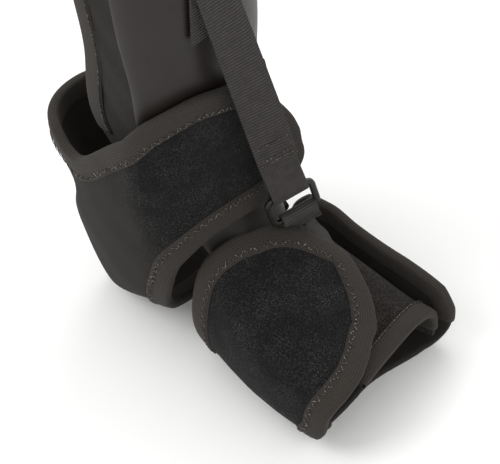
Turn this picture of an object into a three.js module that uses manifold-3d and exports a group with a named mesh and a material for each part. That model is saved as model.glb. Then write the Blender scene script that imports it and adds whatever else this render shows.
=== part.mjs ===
// Dorsal night splint for a left foot: a rigid front shell with a soft liner, an ankle wrap, a foot wrap,
// and a webbing strap with a ring that pulls the toes up towards the shin.
// Millimetres, +Z up, +X towards the toes, +Y towards the little toe.
import * as THREE from "three";
import { mergeVertices } from "three/addons/utils/BufferGeometryUtils.js";
import Module from "manifold-3d";

const wasm = await Module();
wasm.setup();

// Thicknesses and clearances
const SHELL_WALL = 3;
const LINER_WALL = 5;
const WRAP_WALL = 4;
const PANEL_WALL = 3.5;
const TAPE_WALL = 1.1;
const TAPE_WIDTH = 13;
const WEBBING_WALL = 1.6;
const FIT = 0.35;
const TAPE_FIT = 1.05;
const TAPE_TURN = 0.75;

// Main sizes of the shell and liner
const SHELL_TOP = 292;
const SHELL_FRONT = 61;
const SHELL_HALF = 50;
const SHELL_DEEP = 28;
const LINER_REACH = 35;
const LINER_LEAN = 0.1;
const LINER_TOP = -0.08;
const LINER_END = 0.99;

// Main sizes of the ankle wrap
const WRAP_FRONT_TOP = 212;
const WRAP_FRONT = SHELL_FRONT + 8;
const WRAP_BACK = 59;
const WRAP_HALF = SHELL_HALF + 1;
const FLAP_REACH = 69;
const HEEL_HOLE = { x: -62, y: -14, z: 33, long: 35, wide: 62, tall: 43 };

// Main sizes of the foot wrap and its toe panel
const FOOT_REAR = 60;
const FOOT_LONG = 120;
const FOOT_RISE = 100;
const FOOT_HALF = 53;
const FOOT_CREST = -3;
const WALL_SIDE = 60;
const WALL_CORNER = 16;
const PANEL_REAR = 95;
const PANEL_LONG = 77;
const PANEL_SLANT = 8;
const PANEL_HALF = 52;
const PANEL_CROWN = 3;
const PANEL_FOOT = 12;
const FLAP_LIFT = 5.2;
const FLAP_TIP = 56;

// Webbing and ring
const STRAP_WIDTH = 25;
const LOOP_WIDTH = 21;
const RING_WIDE = 33;
const RING_TALL = 22;
const RING_BAR = 4.5;
const RING_DEEP = 4;
const RING_CORNER = 5;
const RING_AT = new THREE.Vector3(SHELL_FRONT + 27, 22.8, 107.4);
const RING_WAY = new THREE.Vector3(0.306, 0.928, 0.206);
const STRAP_TOP = 0.03;
const STRAP_SIDE = -9;
const STRAP_FOLD = 1.65;
const STRAP_RETURN = 0.21;
const STRAP_END = 33;
const LOOP_LONG = 42;
const LOOP_JOIN = 30;
const TAB_WIDTH = 14.5;
const TAB_ACROSS = 0.52;
const TAB_PAST = 2;
const TAB_CLEAR = 1.2;
const TAB_SHIFT = 3.2;
const TAB_TURN = 3;
const TAB_JOIN = 4.6;
const TAB_BACK = 5.5;

// The shin part is turned about Z from the foot's own axis, and stands a little to its outer side.
const LEG_TURN = THREE.MathUtils.degToRad(-11);
const LEG_AT = new THREE.Vector3(2.5, 13.5, 0);

// Front line of the shell from top to toes, as shares of the sizes above
const SHELL_ROWS = [
  { along: 0.0, x: 1.03, z: 1.0, half: 1.02, deep: 1.25, side: 0, reach: 1.0 },
  { along: 0.15, x: 1.0, z: 0.856, half: 1.0, deep: 1.05, side: 0, reach: 1.0 },
  { along: 0.32, x: 0.965, z: 0.7, half: 0.94, deep: 0.8, side: 0, reach: 1.08 },
  { along: 0.49, x: 0.945, z: 0.548, half: 0.87, deep: 0.8, side: 1, reach: 1.1 },
  { along: 0.62, x: 0.95, z: 0.45, half: 0.79, deep: 0.7, side: 3, reach: 0.9 },
  { along: 0.73, x: 0.985, z: 0.375, half: 0.7, deep: 0.54, side: 5, reach: 0.6 },
  { along: 0.82, x: 1.11, z: 0.315, half: 0.62, deep: 0.42, side: 8, reach: 0.45 },
  { along: 0.91, x: 1.29, z: 0.283, half: 0.54, deep: 0.4, side: 7, reach: 0.4 },
  { along: 1.0, x: 1.45, z: 0.258, half: 0.45, deep: 0.38, side: 5, reach: 0.4 },
];

// Loops of the ankle wrap, fanned from the shin to the instep: front and back points of each loop, and
// how wide it is to the inner and the outer side
const WRAP_ROWS = [
  { along: 0.0, frontX: 0.95, frontZ: 1.0, backX: -1.15, backZ: 0.62, inner: 1.03, outer: 1.08 },
  { along: 0.25, frontX: 0.95, frontZ: 0.863, backX: -1.02, backZ: 0.44, inner: 1.0, outer: 1.12 },
  { along: 0.5, frontX: 0.952, frontZ: 0.731, backX: -0.8, backZ: 0.2, inner: 0.9, outer: 1.17 },
  { along: 0.75, frontX: 0.98, frontZ: 0.59, backX: -0.36, backZ: 0.0, inner: 0.81, outer: 1.17 },
  { along: 1.0, frontX: 1.055, frontZ: 0.46, backX: 0.56, backZ: 0.07, inner: 0.83, outer: 0.99 },
];

// How far each loop stands towards the outer side, in millimetres, and where between its front and its
// back it is widest
const WRAP_SIDES = [
  { along: 0.0, side: -2, nose: 0.24 },
  { along: 0.25, side: -5, nose: 0.24 },
  { along: 0.5, side: -11, nose: 0.26 },
  { along: 0.75, side: -11, nose: 0.33 },
  { along: 1.0, side: -3, nose: 0.42 },
];

// Outline of the ankle wrap's cloth on those loops. Turn is in degrees round the leg from the front;
// past the front the flap's end runs on straight, and out is its share of the flap's reach.
const WRAP_OUTLINE = [
  { along: 0.0, turn: 84, out: 0, top: 0.22, low: 1.0 },
  { along: 0.08, turn: 102, out: 0, top: 0.2, low: 1.0 },
  { along: 0.2, turn: 140, out: 0, top: 0.13, low: 1.0 },
  { along: 0.32, turn: 180, out: 0, top: 0.04, low: 1.0 },
  { along: 0.41, turn: 215, out: 0, top: 0.12, low: 1.0 },
  { along: 0.48, turn: 240, out: 0, top: 0.25, low: 0.985 },
  { along: 0.56, turn: 270, out: 0, top: 0.15, low: 0.96 },
  { along: 0.64, turn: 300, out: 0, top: 0.09, low: 0.92 },
  { along: 0.72, turn: 330, out: 0, top: 0.09, low: 0.913 },
  { along: 0.78, turn: 345, out: 0.04, top: 0.11, low: 0.925 },
  { along: 0.84, turn: 350, out: 0.33, top: 0.17, low: 0.94 },
  { along: 0.9, turn: 350, out: 0.62, top: 0.3, low: 0.935 },
  { along: 0.95, turn: 350, out: 0.84, top: 0.48, low: 0.9 },
  { along: 0.98, turn: 350, out: 0.95, top: 0.6, low: 0.86 },
  { along: 1.0, turn: 350, out: 1.0, top: 0.69, low: 0.82 },
];

// Cross-sections of the foot wrap from the heel side to the toes, as shares of its sizes
const FOOT_ROWS = [
  { along: 0.0, rise: 0.97, inner: 0.67, waist: 0.46, square: 2.0, crown: 2.4, wall: 0.66 },
  { along: 0.12, rise: 0.945, inner: 0.72, waist: 0.43, square: 2.05, crown: 2.8, wall: 0.7 },
  { along: 0.27, rise: 0.88, inner: 0.81, waist: 0.4, square: 2.15, crown: 3.0, wall: 0.69 },
  { along: 0.42, rise: 0.8, inner: 0.9, waist: 0.36, square: 2.45, crown: 3.0, wall: 0.61 },
  { along: 0.58, rise: 0.71, inner: 0.97, waist: 0.32, square: 2.6, crown: 2.8, wall: 0.545 },
  { along: 0.73, rise: 0.63, inner: 1.01, waist: 0.29, square: 2.7, crown: 2.6, wall: 0.5 },
  { along: 0.85, rise: 0.575, inner: 1.02, waist: 0.27, square: 2.7, crown: 2.4, wall: 0.45 },
  { along: 1.0, rise: 0.53, inner: 1.03, waist: 0.25, square: 2.7, crown: 2.4, wall: 0.36 },
];

// Outline of the foot wrap's cloth: its rear and front edges at each turn round the foot, in degrees,
// from the flap's end over the instep to the rim of the outer wall
const FOOT_OUTLINE = [
  { along: 56, rear: 0.48, front: 0.54 },
  { along: 59, rear: 0.43, front: 0.59 },
  { along: 66, rear: 0.365, front: 0.65 },
  { along: 76, rear: 0.29, front: 0.725 },
  { along: 92, rear: 0.155, front: 0.85 },
  { along: 118, rear: 0.075, front: 0.915 },
  { along: 150, rear: 0.01, front: 0.895 },
  { along: 180, rear: 0.0, front: 0.85 },
  { along: 225, rear: 0.0, front: 0.765 },
  { along: 270, rear: 0.0, front: 0.78 },
  { along: 300, rear: 0.0, front: 0.9 },
  { along: 330, rear: 0.0, front: 0.975 },
  { along: 345, rear: 0.0, front: 0.98 },
  { along: 354, rear: 0.01, front: 0.955 },
  { along: 360, rear: 0.05, front: 0.925 },
];

const MATERIALS = {
  shell: new THREE.MeshStandardMaterial({ color: "#3d3937", roughness: 0.42, metalness: 0 }),
  liner: new THREE.MeshStandardMaterial({ color: "#262423", roughness: 0.75, metalness: 0 }),
  pile: new THREE.MeshStandardMaterial({ color: "#1f1f1f", roughness: 0.95, metalness: 0 }),
  hook: new THREE.MeshStandardMaterial({ color: "#2a2523", roughness: 0.95, metalness: 0 }),
  tape: new THREE.MeshStandardMaterial({ color: "#3a3633", roughness: 0.85, metalness: 0 }),
  webbing: new THREE.MeshStandardMaterial({ color: "#3d3938", roughness: 0.7, metalness: 0 }),
  ring: new THREE.MeshStandardMaterial({ color: "#1c1c1c", roughness: 0.35, metalness: 0 }),
};

// Smooth value of a named column at a place along a table's rows, with no overshoot
function column(rows, name, along) {
  const last = rows.length - 1;
  let i = 0;
  while (i < last - 1 && rows[i + 1].along < along) i++;
  const rate = (k) => (rows[k + 1][name] - rows[k][name]) / (rows[k + 1].along - rows[k].along);
  const slope = (k) => {
    if (k === 0) return rate(0);
    if (k === last) return rate(last - 1);
    const [before, after] = [rate(k - 1), rate(k)];
    return before * after <= 0 ? 0 : (2 * before * after) / (before + after);
  };
  const span = rows[i + 1].along - rows[i].along;
  const t = (along - rows[i].along) / span;
  if (t < 0) return rows[i][name] + t * span * slope(i);
  if (t > 1) return rows[i + 1][name] + (t - 1) * span * slope(i + 1);
  const [t2, t3] = [t * t, t * t * t];
  return (
    (2 * t3 - 3 * t2 + 1) * rows[i][name] +
    (t3 - 2 * t2 + t) * span * slope(i) +
    (3 * t2 - 2 * t3) * rows[i + 1][name] +
    (t3 - t2) * span * slope(i + 1)
  );
}

// Evenly spaced numbers from one value to another
const steps = (from, to, count) =>
  Array.from({ length: count + 1 }, (_, i) => from + ((to - from) * i) / count);

// Unit normal of a surface given as a function of two numbers
function normalAt(surface, u, v) {
  const step = 1e-3;
  const alongU = surface(u + step, v).sub(surface(u - step, v));
  const alongV = surface(u, v + step).sub(surface(u, v - step));
  return alongU.cross(alongV).normalize();
}

// Closed body from rings of equal length: each ring joins the next, and the ends are capped.
function skin(rings) {
  const size = rings[0].length;
  const position = rings.flat().flatMap((p) => [p.x, p.y, p.z]);
  const index = [];
  for (let i = 0; i + 1 < rings.length; i++) {
    for (let j = 0; j < size; j++) {
      const a = i * size + j;
      const b = i * size + ((j + 1) % size);
      index.push(a, b, b + size, a, b + size, a + size);
    }
  }
  for (const [ring, turn] of [[0, 1], [rings.length - 1, 0]]) {
    const base = ring * size;
    for (let j = 0; j + 1 < size / 2; j++) {
      const quad = [base + j, base + j + 1, base + size - 2 - j, base + size - 1 - j];
      const [a, b, c, d] = turn ? quad.reverse() : quad;
      index.push(a, b, c, a, c, d);
    }
  }
  const geometry = new THREE.BufferGeometry();
  geometry.setAttribute("position", new THREE.Float32BufferAttribute(position, 3));
  geometry.setIndex(index);
  return geometry;
}

// Body of one thickness over a grid of places: the surface is its outer face, and the wall goes inwards.
function sheet(surface, us, vs, wall) {
  return skin(
    us.map((u) => {
      const outer = vs.map((v) => surface(u, v));
      const inner = vs.map((v, j) => outer[j].clone().addScaledVector(normalAt(surface, u, v), -wall));
      return [...outer, ...inner.reverse()];
    }),
  );
}

// Turns a body inside out when its faces point inwards
function facingOut(geometry) {
  const p = geometry.getAttribute("position");
  const index = geometry.index.array;
  let volume = 0;
  const [a, b, c] = [new THREE.Vector3(), new THREE.Vector3(), new THREE.Vector3()];
  for (let i = 0; i < index.length; i += 3) {
    a.fromBufferAttribute(p, index[i]);
    b.fromBufferAttribute(p, index[i + 1]);
    c.fromBufferAttribute(p, index[i + 2]);
    volume += a.dot(b.cross(c));
  }
  if (volume < 0) {
    for (let i = 0; i < index.length; i += 3) [index[i + 1], index[i + 2]] = [index[i + 2], index[i + 1]];
  }
  return geometry;
}

// Folded tape over the edge of a sheet. Form is the surface that the sheet lies on, places lists the
// edge's stations on it, and side is 1 or -1 for the hand on which the cloth lies. Folds is how many
// flat strips each face of the tape has across its width. It is narrower where its edge turns tightly.
function tape(form, places, wall, side, folds) {
  const small = 1e-3;
  const at = places.map(({ u, v }) => form(u, v));
  const [top, low] = [TAPE_FIT + TAPE_WALL, -wall - TAPE_FIT - TAPE_WALL];
  const runs = at.map((_, i) => at[Math.min(i + 1, at.length - 1)].clone().sub(at[Math.max(i - 1, 0)]));
  const inwards = places.map(({ u, v }, i) =>
    runs[i].clone().normalize().cross(normalAt(form, u, v)).multiplyScalar(side),
  );
  const room = at.map((_, i) => {
    const [before, after] = [Math.max(i - 1, 0), Math.min(i + 1, at.length - 1)];
    const closing = -inwards[after].clone().sub(inwards[before]).dot(runs[i]) / runs[i].lengthSq();
    return closing > 0 ? Math.min(TAPE_TURN / (closing * TAPE_WIDTH), 1) : 1;
  });
  return skin(
    places.map(({ u, v, narrow = 1 }, i) => {
      const run = runs[i].clone().normalize();
      const nearest = Math.min(narrow, ...room.slice(Math.max(i - 1, 0), i + 2));
      const lines = [];
      let [hereU, hereV] = [u, v];
      for (let fold = 0; fold <= folds; fold++) {
        const here = form(hereU, hereV);
        const normal = normalAt(form, hereU, hereV);
        const inward = run.clone().cross(normal).multiplyScalar(side).normalize();
        lines.push({ here, normal, inward });
        const du = form(hereU + small, hereV).sub(here).divideScalar(small);
        const dv = form(hereU, hereV + small).sub(here).divideScalar(small);
        const go = inward.clone().multiplyScalar((TAPE_WIDTH * nearest) / folds);
        const [uu, uv, vv] = [du.dot(du), du.dot(dv), dv.dot(dv)];
        const [gu, gv] = [go.dot(du), go.dot(dv)];
        const det = uu * vv - uv * uv;
        hereU += (gu * vv - gv * uv) / det;
        hereV += (gv * uu - gu * uv) / det;
      }
      const layer = (lift) => lines.map(({ here, normal }) => here.clone().addScaledVector(normal, lift));
      const [{ here, normal, inward }] = lines;
      const edge = (out, lift) => here.clone().addScaledVector(normal, lift).addScaledVector(inward, -out);
      return [
        ...layer(top).reverse(),
        edge(TAPE_FIT + TAPE_WALL, top - TAPE_WALL),
        edge(TAPE_FIT + TAPE_WALL, low + TAPE_WALL),
        ...layer(low),
        ...layer(low + TAPE_WALL).reverse(),
        edge(TAPE_FIT, low + TAPE_WALL + TAPE_FIT),
        edge(TAPE_FIT, top - TAPE_WALL - TAPE_FIT),
        ...layer(top - TAPE_WALL),
      ];
    }),
  );
}

// Closed body of webbing through stations of { at, wide, face } vectors
function ribbon(stations, width) {
  return skin(
    stations.map(({ at, wide, face }) =>
      [[-1, 1], [1, 1], [1, -1], [-1, -1]].map(([w, f]) =>
        at.clone().addScaledVector(wide, (w * width) / 2).addScaledVector(face, (f * WEBBING_WALL) / 2),
      ),
    ),
  );
}

const splint = new THREE.Group();
const leg = new THREE.Group();
leg.rotation.z = LEG_TURN;
leg.position.copy(LEG_AT);
splint.add(leg);
leg.updateMatrixWorld(true);

function addPiece(parent, name, geometry, material) {
  const mesh = new THREE.Mesh(facingOut(geometry), MATERIALS[material]);
  mesh.name = name;
  parent.add(mesh);
}

// Point of the shell's front line and its outward direction in the XZ plane
function shellLine(along) {
  const at = (s) =>
    new THREE.Vector3(column(SHELL_ROWS, "x", s) * SHELL_FRONT, 0, column(SHELL_ROWS, "z", s) * SHELL_TOP);
  const run = at(along + 0.01).sub(at(along - 0.01)).normalize();
  return { at: at(along), out: new THREE.Vector3(-run.z, 0, run.x) };
}

// Face of the shell or liner, as a trough. Across runs from -1 to 1 over the front, and past the shell's
// own edges the liner's face goes on straight back. Inset goes inwards from the shell's outer face.
function trough(along, across, inset = 0) {
  const { at, out } = shellLine(along);
  at.addScaledVector(out, -inset);
  const half = column(SHELL_ROWS, "half", along) * SHELL_HALF - inset;
  const deep = column(SHELL_ROWS, "deep", along) * SHELL_DEEP - inset;
  const turn = (Math.min(Math.abs(across), 1) * Math.PI) / 2;
  const past = Math.max(Math.abs(across) - 1, 0) * column(SHELL_ROWS, "reach", along) * LINER_REACH;
  const side = Math.sign(across) * (half * Math.sin(turn) - LINER_LEAN * past);
  const back = deep * (1 - Math.cos(turn)) + past;
  at.addScaledVector(out, -back);
  at.y += side + column(SHELL_ROWS, "side", along);
  return at;
}

const shellAlong = steps(0, 1, 16);
const shellAcross = steps(-0.97, 0.97, 10);

// Body between two insets of the trough: start gives where each line across begins along it
function troughBody(along, across, start, outer, inner) {
  const line = (u, inset) => across.map((v) => trough(Math.max(u, start(v)), v, inset));
  return skin(along.map((u) => [...line(u, outer), ...line(u, inner).reverse()]));
}

function addShell() {
  addPiece(leg, "dorsal_shell", troughBody(shellAlong, shellAcross, () => 0, 0, SHELL_WALL), "shell");
}

// The liner lies against the shell's inner face and stands out past its sides and top. Its top corners
// are rounded: rounded gives how far down the top edge is at a place across.
const rounded = (across) => 0.1 * (1 - Math.cos(Math.asin(Math.max(Math.abs(across) - 1.3, 0) / 0.71)));
const linerForm = (along, across) => trough(along, across, SHELL_WALL + FIT);

function addLiner() {
  const across = [-2, -1.75, -1.45, -1.2, ...shellAcross, 1.2, 1.45, 1.75, 2];
  const along = [LINER_TOP, -0.03, ...shellAlong.slice(0, -1), LINER_END];
  const outer = SHELL_WALL + FIT;
  const body = troughBody(along, across, (v) => LINER_TOP + rounded(v), outer, outer + LINER_WALL);
  addPiece(leg, "shell_liner", body, "liner");
}

// Point of the ankle wrap's outer face: along from shin to instep, strip from its outer end round the
// heel cord and the inner side to the tip of its flap
function wrapForm(along, strip) {
  const loop = (name) => column(WRAP_ROWS, name, along);
  const angle = THREE.MathUtils.degToRad(column(WRAP_OUTLINE, "turn", strip));
  const out = column(WRAP_OUTLINE, "out", strip) * FLAP_REACH;
  const [c, s] = [Math.cos(angle), Math.sin(angle)];
  const nose = column(WRAP_SIDES, "nose", along);
  const share = c > 0 ? nose * (1 - c) : nose - (1 - nose) * c;
  const full = c > 0 ? s : Math.sign(s) * Math.pow(Math.abs(s), 0.85);
  const half = WRAP_HALF * (s > 0 ? loop("outer") : loop("inner"));
  const [frontX, frontZ] = [loop("frontX") * WRAP_FRONT, loop("frontZ") * WRAP_FRONT_TOP];
  const [backX, backZ] = [loop("backX") * WRAP_BACK, loop("backZ") * WRAP_FRONT_TOP];
  return new THREE.Vector3(
    frontX + (backX - frontX) * share,
    half * full + column(WRAP_SIDES, "side", along) + out,
    frontZ + (backZ - frontZ) * share,
  );
}

// A closed geometry as a manifold-3d solid
function solid(geometry) {
  const merged = mergeVertices(geometry, 1e-4);
  return new wasm.Manifold(
    new wasm.Mesh({
      numProp: 3,
      vertProperties: merged.getAttribute("position").array,
      triVerts: new Uint32Array(merged.index.array),
    }),
  );
}

function fromSolid(body) {
  const mesh = body.getMesh();
  const geometry = new THREE.BufferGeometry();
  geometry.setAttribute("position", new THREE.BufferAttribute(mesh.vertProperties, 3));
  geometry.setIndex(new THREE.BufferAttribute(mesh.triVerts, 1));
  return geometry;
}

function addAnkleWrap() {
  const strips = steps(0, 1, 36);
  const edges = (strip) => [column(WRAP_OUTLINE, "top", strip), column(WRAP_OUTLINE, "low", strip)];
  const surface = (u, v) => wrapForm(THREE.MathUtils.lerp(...edges(v), u), v);
  const cloth = facingOut(sheet(surface, steps(0, 1, 8), strips, WRAP_WALL));
  const heel = new THREE.SphereGeometry(1, 24, 16);
  heel.deleteAttribute("normal");
  heel.deleteAttribute("uv");
  heel.scale(HEEL_HOLE.long, HEEL_HOLE.wide, HEEL_HOLE.tall);
  heel.translate(HEEL_HOLE.x, HEEL_HOLE.y, HEEL_HOLE.z);
  addPiece(leg, "ankle_wrap", fromSolid(solid(cloth).subtract(solid(heel))), "pile");
  const narrow = (strip) => 1 - 0.45 * THREE.MathUtils.smoothstep(strip, 0.88, 0.97);
  const edge = (strip, share) => {
    const u = THREE.MathUtils.lerp(...edges(strip), share);
    return { u, v: strip, narrow: narrow(strip) };
  };
  const places = [
    ...strips.map((strip) => edge(strip, 0)),
    ...[0.33, 0.67].map((share) => edge(1, share)),
    ...strips.map((strip) => edge(strip, 1)).reverse(),
  ];
  addPiece(leg, "ankle_wrap_tape", tape(wrapForm, places, WRAP_WALL, 1, 2), "tape");
}

// Signed power, for squared-off ellipses
const squared = (value, power) => Math.sign(value) * Math.pow(Math.abs(value), 2 / power);

// Place on a rounded section of the foot at a turn in degrees: 0 at the outer side, 90 on the instep's
// crest, 180 at the inner side and 270 under the sole. Inset goes inwards from the foot wrap's face.
function footSection(along, turn, inset) {
  const row = (name) => column(FOOT_ROWS, name, along);
  const waist = row("waist") * FOOT_RISE;
  const top = row("rise") * FOOT_RISE - waist - inset;
  const angle = THREE.MathUtils.degToRad(turn);
  const power = turn < 90 ? row("crown") : row("square");
  const half = (turn < 90 ? 1 : row("inner")) * FOOT_HALF - inset;
  const up = squared(Math.sin(angle), power);
  return new THREE.Vector3(
    FOOT_REAR + FOOT_LONG * along,
    FOOT_CREST + half * squared(Math.cos(angle), power),
    waist + (up > 0 ? top : waist - inset) * up,
  );
}

// Point of the foot wrap's outer face. Past 270 the sole runs flat to the outer wall's corner, which
// ends at 330, and the wall goes up to its rim at 360.
function footForm(turn, along) {
  if (turn <= 270) return footSection(along, turn, 0);
  const x = FOOT_REAR + FOOT_LONG * along;
  const flat = WALL_SIDE - WALL_CORNER - FOOT_CREST;
  if (turn <= 300) return new THREE.Vector3(x, FOOT_CREST + (flat * (turn - 270)) / 30, 0);
  const corner = THREE.MathUtils.degToRad((Math.min(turn, 330) - 300) * 3);
  const rim = column(FOOT_ROWS, "wall", along) * FOOT_RISE - WALL_CORNER;
  return new THREE.Vector3(
    x,
    WALL_SIDE - WALL_CORNER * (1 - Math.sin(corner)),
    WALL_CORNER * (1 - Math.cos(corner)) + (rim * (Math.max(turn, 330) - 330)) / 30,
  );
}

function addFootWrap() {
  const flapTurns = [FLAP_TIP, FLAP_TIP + 2, FLAP_TIP + 5, FLAP_TIP + 9, ...steps(70, 220, 15)];
  const wallTurns = [338, 346, 351, 354, 357];
  const turns = [...flapTurns, ...steps(230, 270, 4), 300, ...steps(306, 330, 4), ...wallTurns, 360];
  const edges = (turn) => [column(FOOT_OUTLINE, "rear", turn), column(FOOT_OUTLINE, "front", turn)];
  const surface = (u, v) => footForm(u, THREE.MathUtils.lerp(...edges(u), v));
  addPiece(splint, "foot_wrap", sheet(surface, turns, steps(0, 1, 8), WRAP_WALL), "pile");
  const edge = (turn, share) => ({ u: turn, v: THREE.MathUtils.lerp(...edges(turn), share) });
  const flap = [
    ...flapTurns.map((turn) => edge(turn, 1)).reverse(),
    edge(FLAP_TIP, 0.5),
    ...flapTurns.map((turn) => edge(turn, 0)),
  ];
  addPiece(splint, "foot_flap_tape", tape(footForm, flap, WRAP_WALL, -1, 2), "tape");
  const wall = [
    ...wallTurns.map((turn) => edge(turn, 0)),
    ...steps(0, 1, 8).map((share) => edge(360, share)),
    ...wallTurns.map((turn) => edge(turn, 1)).reverse(),
  ];
  addPiece(splint, "foot_wall_tape", tape(footForm, wall, WRAP_WALL, -1, 1), "tape");
}

// Point of the toe panel's outer face: along from its rear edge, across from under the flap over the
// instep, then down inside the outer wall. Its outer half is boxier than the flap, where the ring pulls it.
function panelForm(along, across) {
  const turn = 118 - 118 * Math.min(across / 0.8, 1);
  const rear = PANEL_REAR - PANEL_SLANT * THREE.MathUtils.smoothstep(across, 0.3, 0.5) * (1 - along);
  const row = (rear + PANEL_LONG * along - FOOT_REAR) / FOOT_LONG;
  const place = footSection(row, turn, WRAP_WALL + FLAP_LIFT);
  if (turn < 90) {
    const waist = column(FOOT_ROWS, "waist", row) * FOOT_RISE;
    const top = column(FOOT_ROWS, "rise", row) * FOOT_RISE - waist - WRAP_WALL - FLAP_LIFT;
    const power = THREE.MathUtils.lerp(PANEL_CROWN, 2.4, along);
    const angle = THREE.MathUtils.degToRad(turn);
    place.y = FOOT_CREST + PANEL_HALF * squared(Math.cos(angle), power);
    place.z = waist + top * squared(Math.sin(angle), power);
  }
  const drop = place.z - PANEL_FOOT;
  return place.setZ(place.z - (Math.max(across - 0.8, 0) / 0.2) * drop);
}

function addToePanel() {
  const across = [...steps(0, 0.8, 12), 0.9, 1];
  addPiece(splint, "toe_panel", sheet(panelForm, steps(0, 1, 8), across, PANEL_WALL), "hook");
  const places = across.slice(3, -1).map((v) => ({ u: 1, v }));
  addPiece(splint, "toe_panel_tape", tape(panelForm, places, PANEL_WALL, -1, 1), "tape");
}

// Where the pull strap folds over at the top of the shell: it lies against the shell behind the fold.
const strapSeat = (along) => {
  const { at, out } = shellLine(along);
  return at.addScaledVector(out, FIT + WEBBING_WALL / 2).setY(STRAP_SIDE);
};
const strapTop = strapSeat(STRAP_TOP).addScaledVector(shellLine(STRAP_TOP).out, 2 * STRAP_FOLD);

// Frame of the ring: up the strap, across it, and out of its front face
const pullUp = strapTop.clone().sub(RING_AT).normalize();
const squareTo = (wide, run) => wide.clone().addScaledVector(run, -wide.dot(run)).normalize();
const pullWide = squareTo(RING_WAY, pullUp);
const pullFace = pullWide.clone().cross(pullUp);
const onPull = (wide, up, face) => {
  const point = RING_AT.clone().addScaledVector(pullWide, wide);
  return point.addScaledVector(pullUp, up).addScaledVector(pullFace, face);
};
const barUp = (RING_TALL - RING_BAR) / 2;
const bend = Math.hypot(RING_DEEP, RING_BAR) / 2 + FIT + WEBBING_WALL / 2;
const close = WEBBING_WALL / 2 + FIT / 2;

function addRing() {
  const outline = (wide, tall, corner) => {
    const shape = new THREE.Shape();
    const [w, t] = [wide / 2 - corner, tall / 2 - corner];
    shape.absarc(w, -t, corner, -Math.PI / 2, 0);
    shape.absarc(w, t, corner, 0, Math.PI / 2);
    shape.absarc(-w, t, corner, Math.PI / 2, Math.PI);
    shape.absarc(-w, -t, corner, Math.PI, 1.5 * Math.PI);
    shape.closePath();
    return shape;
  };
  const shape = outline(RING_WIDE, RING_TALL, RING_CORNER);
  shape.holes.push(outline(RING_WIDE - 2 * RING_BAR, RING_TALL - 2 * RING_BAR, RING_CORNER / 2));
  const flat = { depth: RING_DEEP, bevelEnabled: false, curveSegments: 5 };
  const plate = new THREE.ExtrudeGeometry(shape, flat);
  plate.deleteAttribute("normal");
  plate.deleteAttribute("uv");
  plate.translate(0, 0, -RING_DEEP / 2);
  plate.applyMatrix4(new THREE.Matrix4().makeBasis(pullWide, pullUp, pullFace).setPosition(RING_AT));
  addPiece(leg, "strap_ring", mergeVertices(plate, 1e-4), "ring");
}

// Half turn of webbing round a bar of the ring, from its back to its front: way is 1 over the lower
// bar and -1 under the upper bar.
const halfTurn = (way) =>
  steps(Math.PI, 0, 8).map((angle) => ({
    at: onPull(0, way * (bend * Math.sin(angle) - barUp), bend * Math.cos(angle)),
    wide: pullWide,
    face: pullFace.clone().multiplyScalar(Math.cos(angle)).addScaledVector(pullUp, way * Math.sin(angle)),
  }));

function addLoop() {
  const layer = (up, face) => ({
    at: onPull(0, up, face),
    wide: pullWide,
    face: pullFace.clone().multiplyScalar(Math.sign(face)),
  });
  const places = [[LOOP_LONG, close], [LOOP_JOIN, close], [barUp + 5, bend]];
  const stations = [
    ...places.map(([up, face]) => layer(up, -face)),
    ...halfTurn(-1),
    ...places.map(([up, face]) => layer(up, face)).reverse(),
  ];
  addPiece(leg, "strap_loop", ribbon(stations, LOOP_WIDTH), "webbing");
}

function addPullStrap() {
  const across = new THREE.Vector3(0, 1, 0);
  const back = steps(STRAP_TOP + STRAP_RETURN, STRAP_TOP, 5).map((along) => ({
    at: strapSeat(along),
    wide: across,
    face: shellLine(along).out.negate(),
  }));
  const { out } = shellLine(STRAP_TOP);
  const up = out.clone().cross(across);
  const middle = strapSeat(STRAP_TOP).addScaledVector(out, STRAP_FOLD);
  const fold = steps(Math.PI, 0, 6).slice(1).map((angle) => {
    const face = out.clone().multiplyScalar(Math.cos(angle)).addScaledVector(up, Math.sin(angle));
    return { at: middle.clone().addScaledVector(face, STRAP_FOLD), wide: across, face };
  });
  const end = onPull(0, STRAP_END, 2 * close + WEBBING_WALL / 2 + 2 * FIT);
  const run = strapTop.clone().sub(end).normalize();
  const front = steps(0.05, 1, 7).map((share) => {
    const wide = squareTo(across.clone().lerp(pullWide, share), run);
    return { at: strapTop.clone().lerp(end, share), wide, face: wide.clone().cross(run) };
  });
  addPiece(leg, "pull_strap", ribbon([...back, ...fold, ...front], STRAP_WIDTH), "webbing");
}

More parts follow.
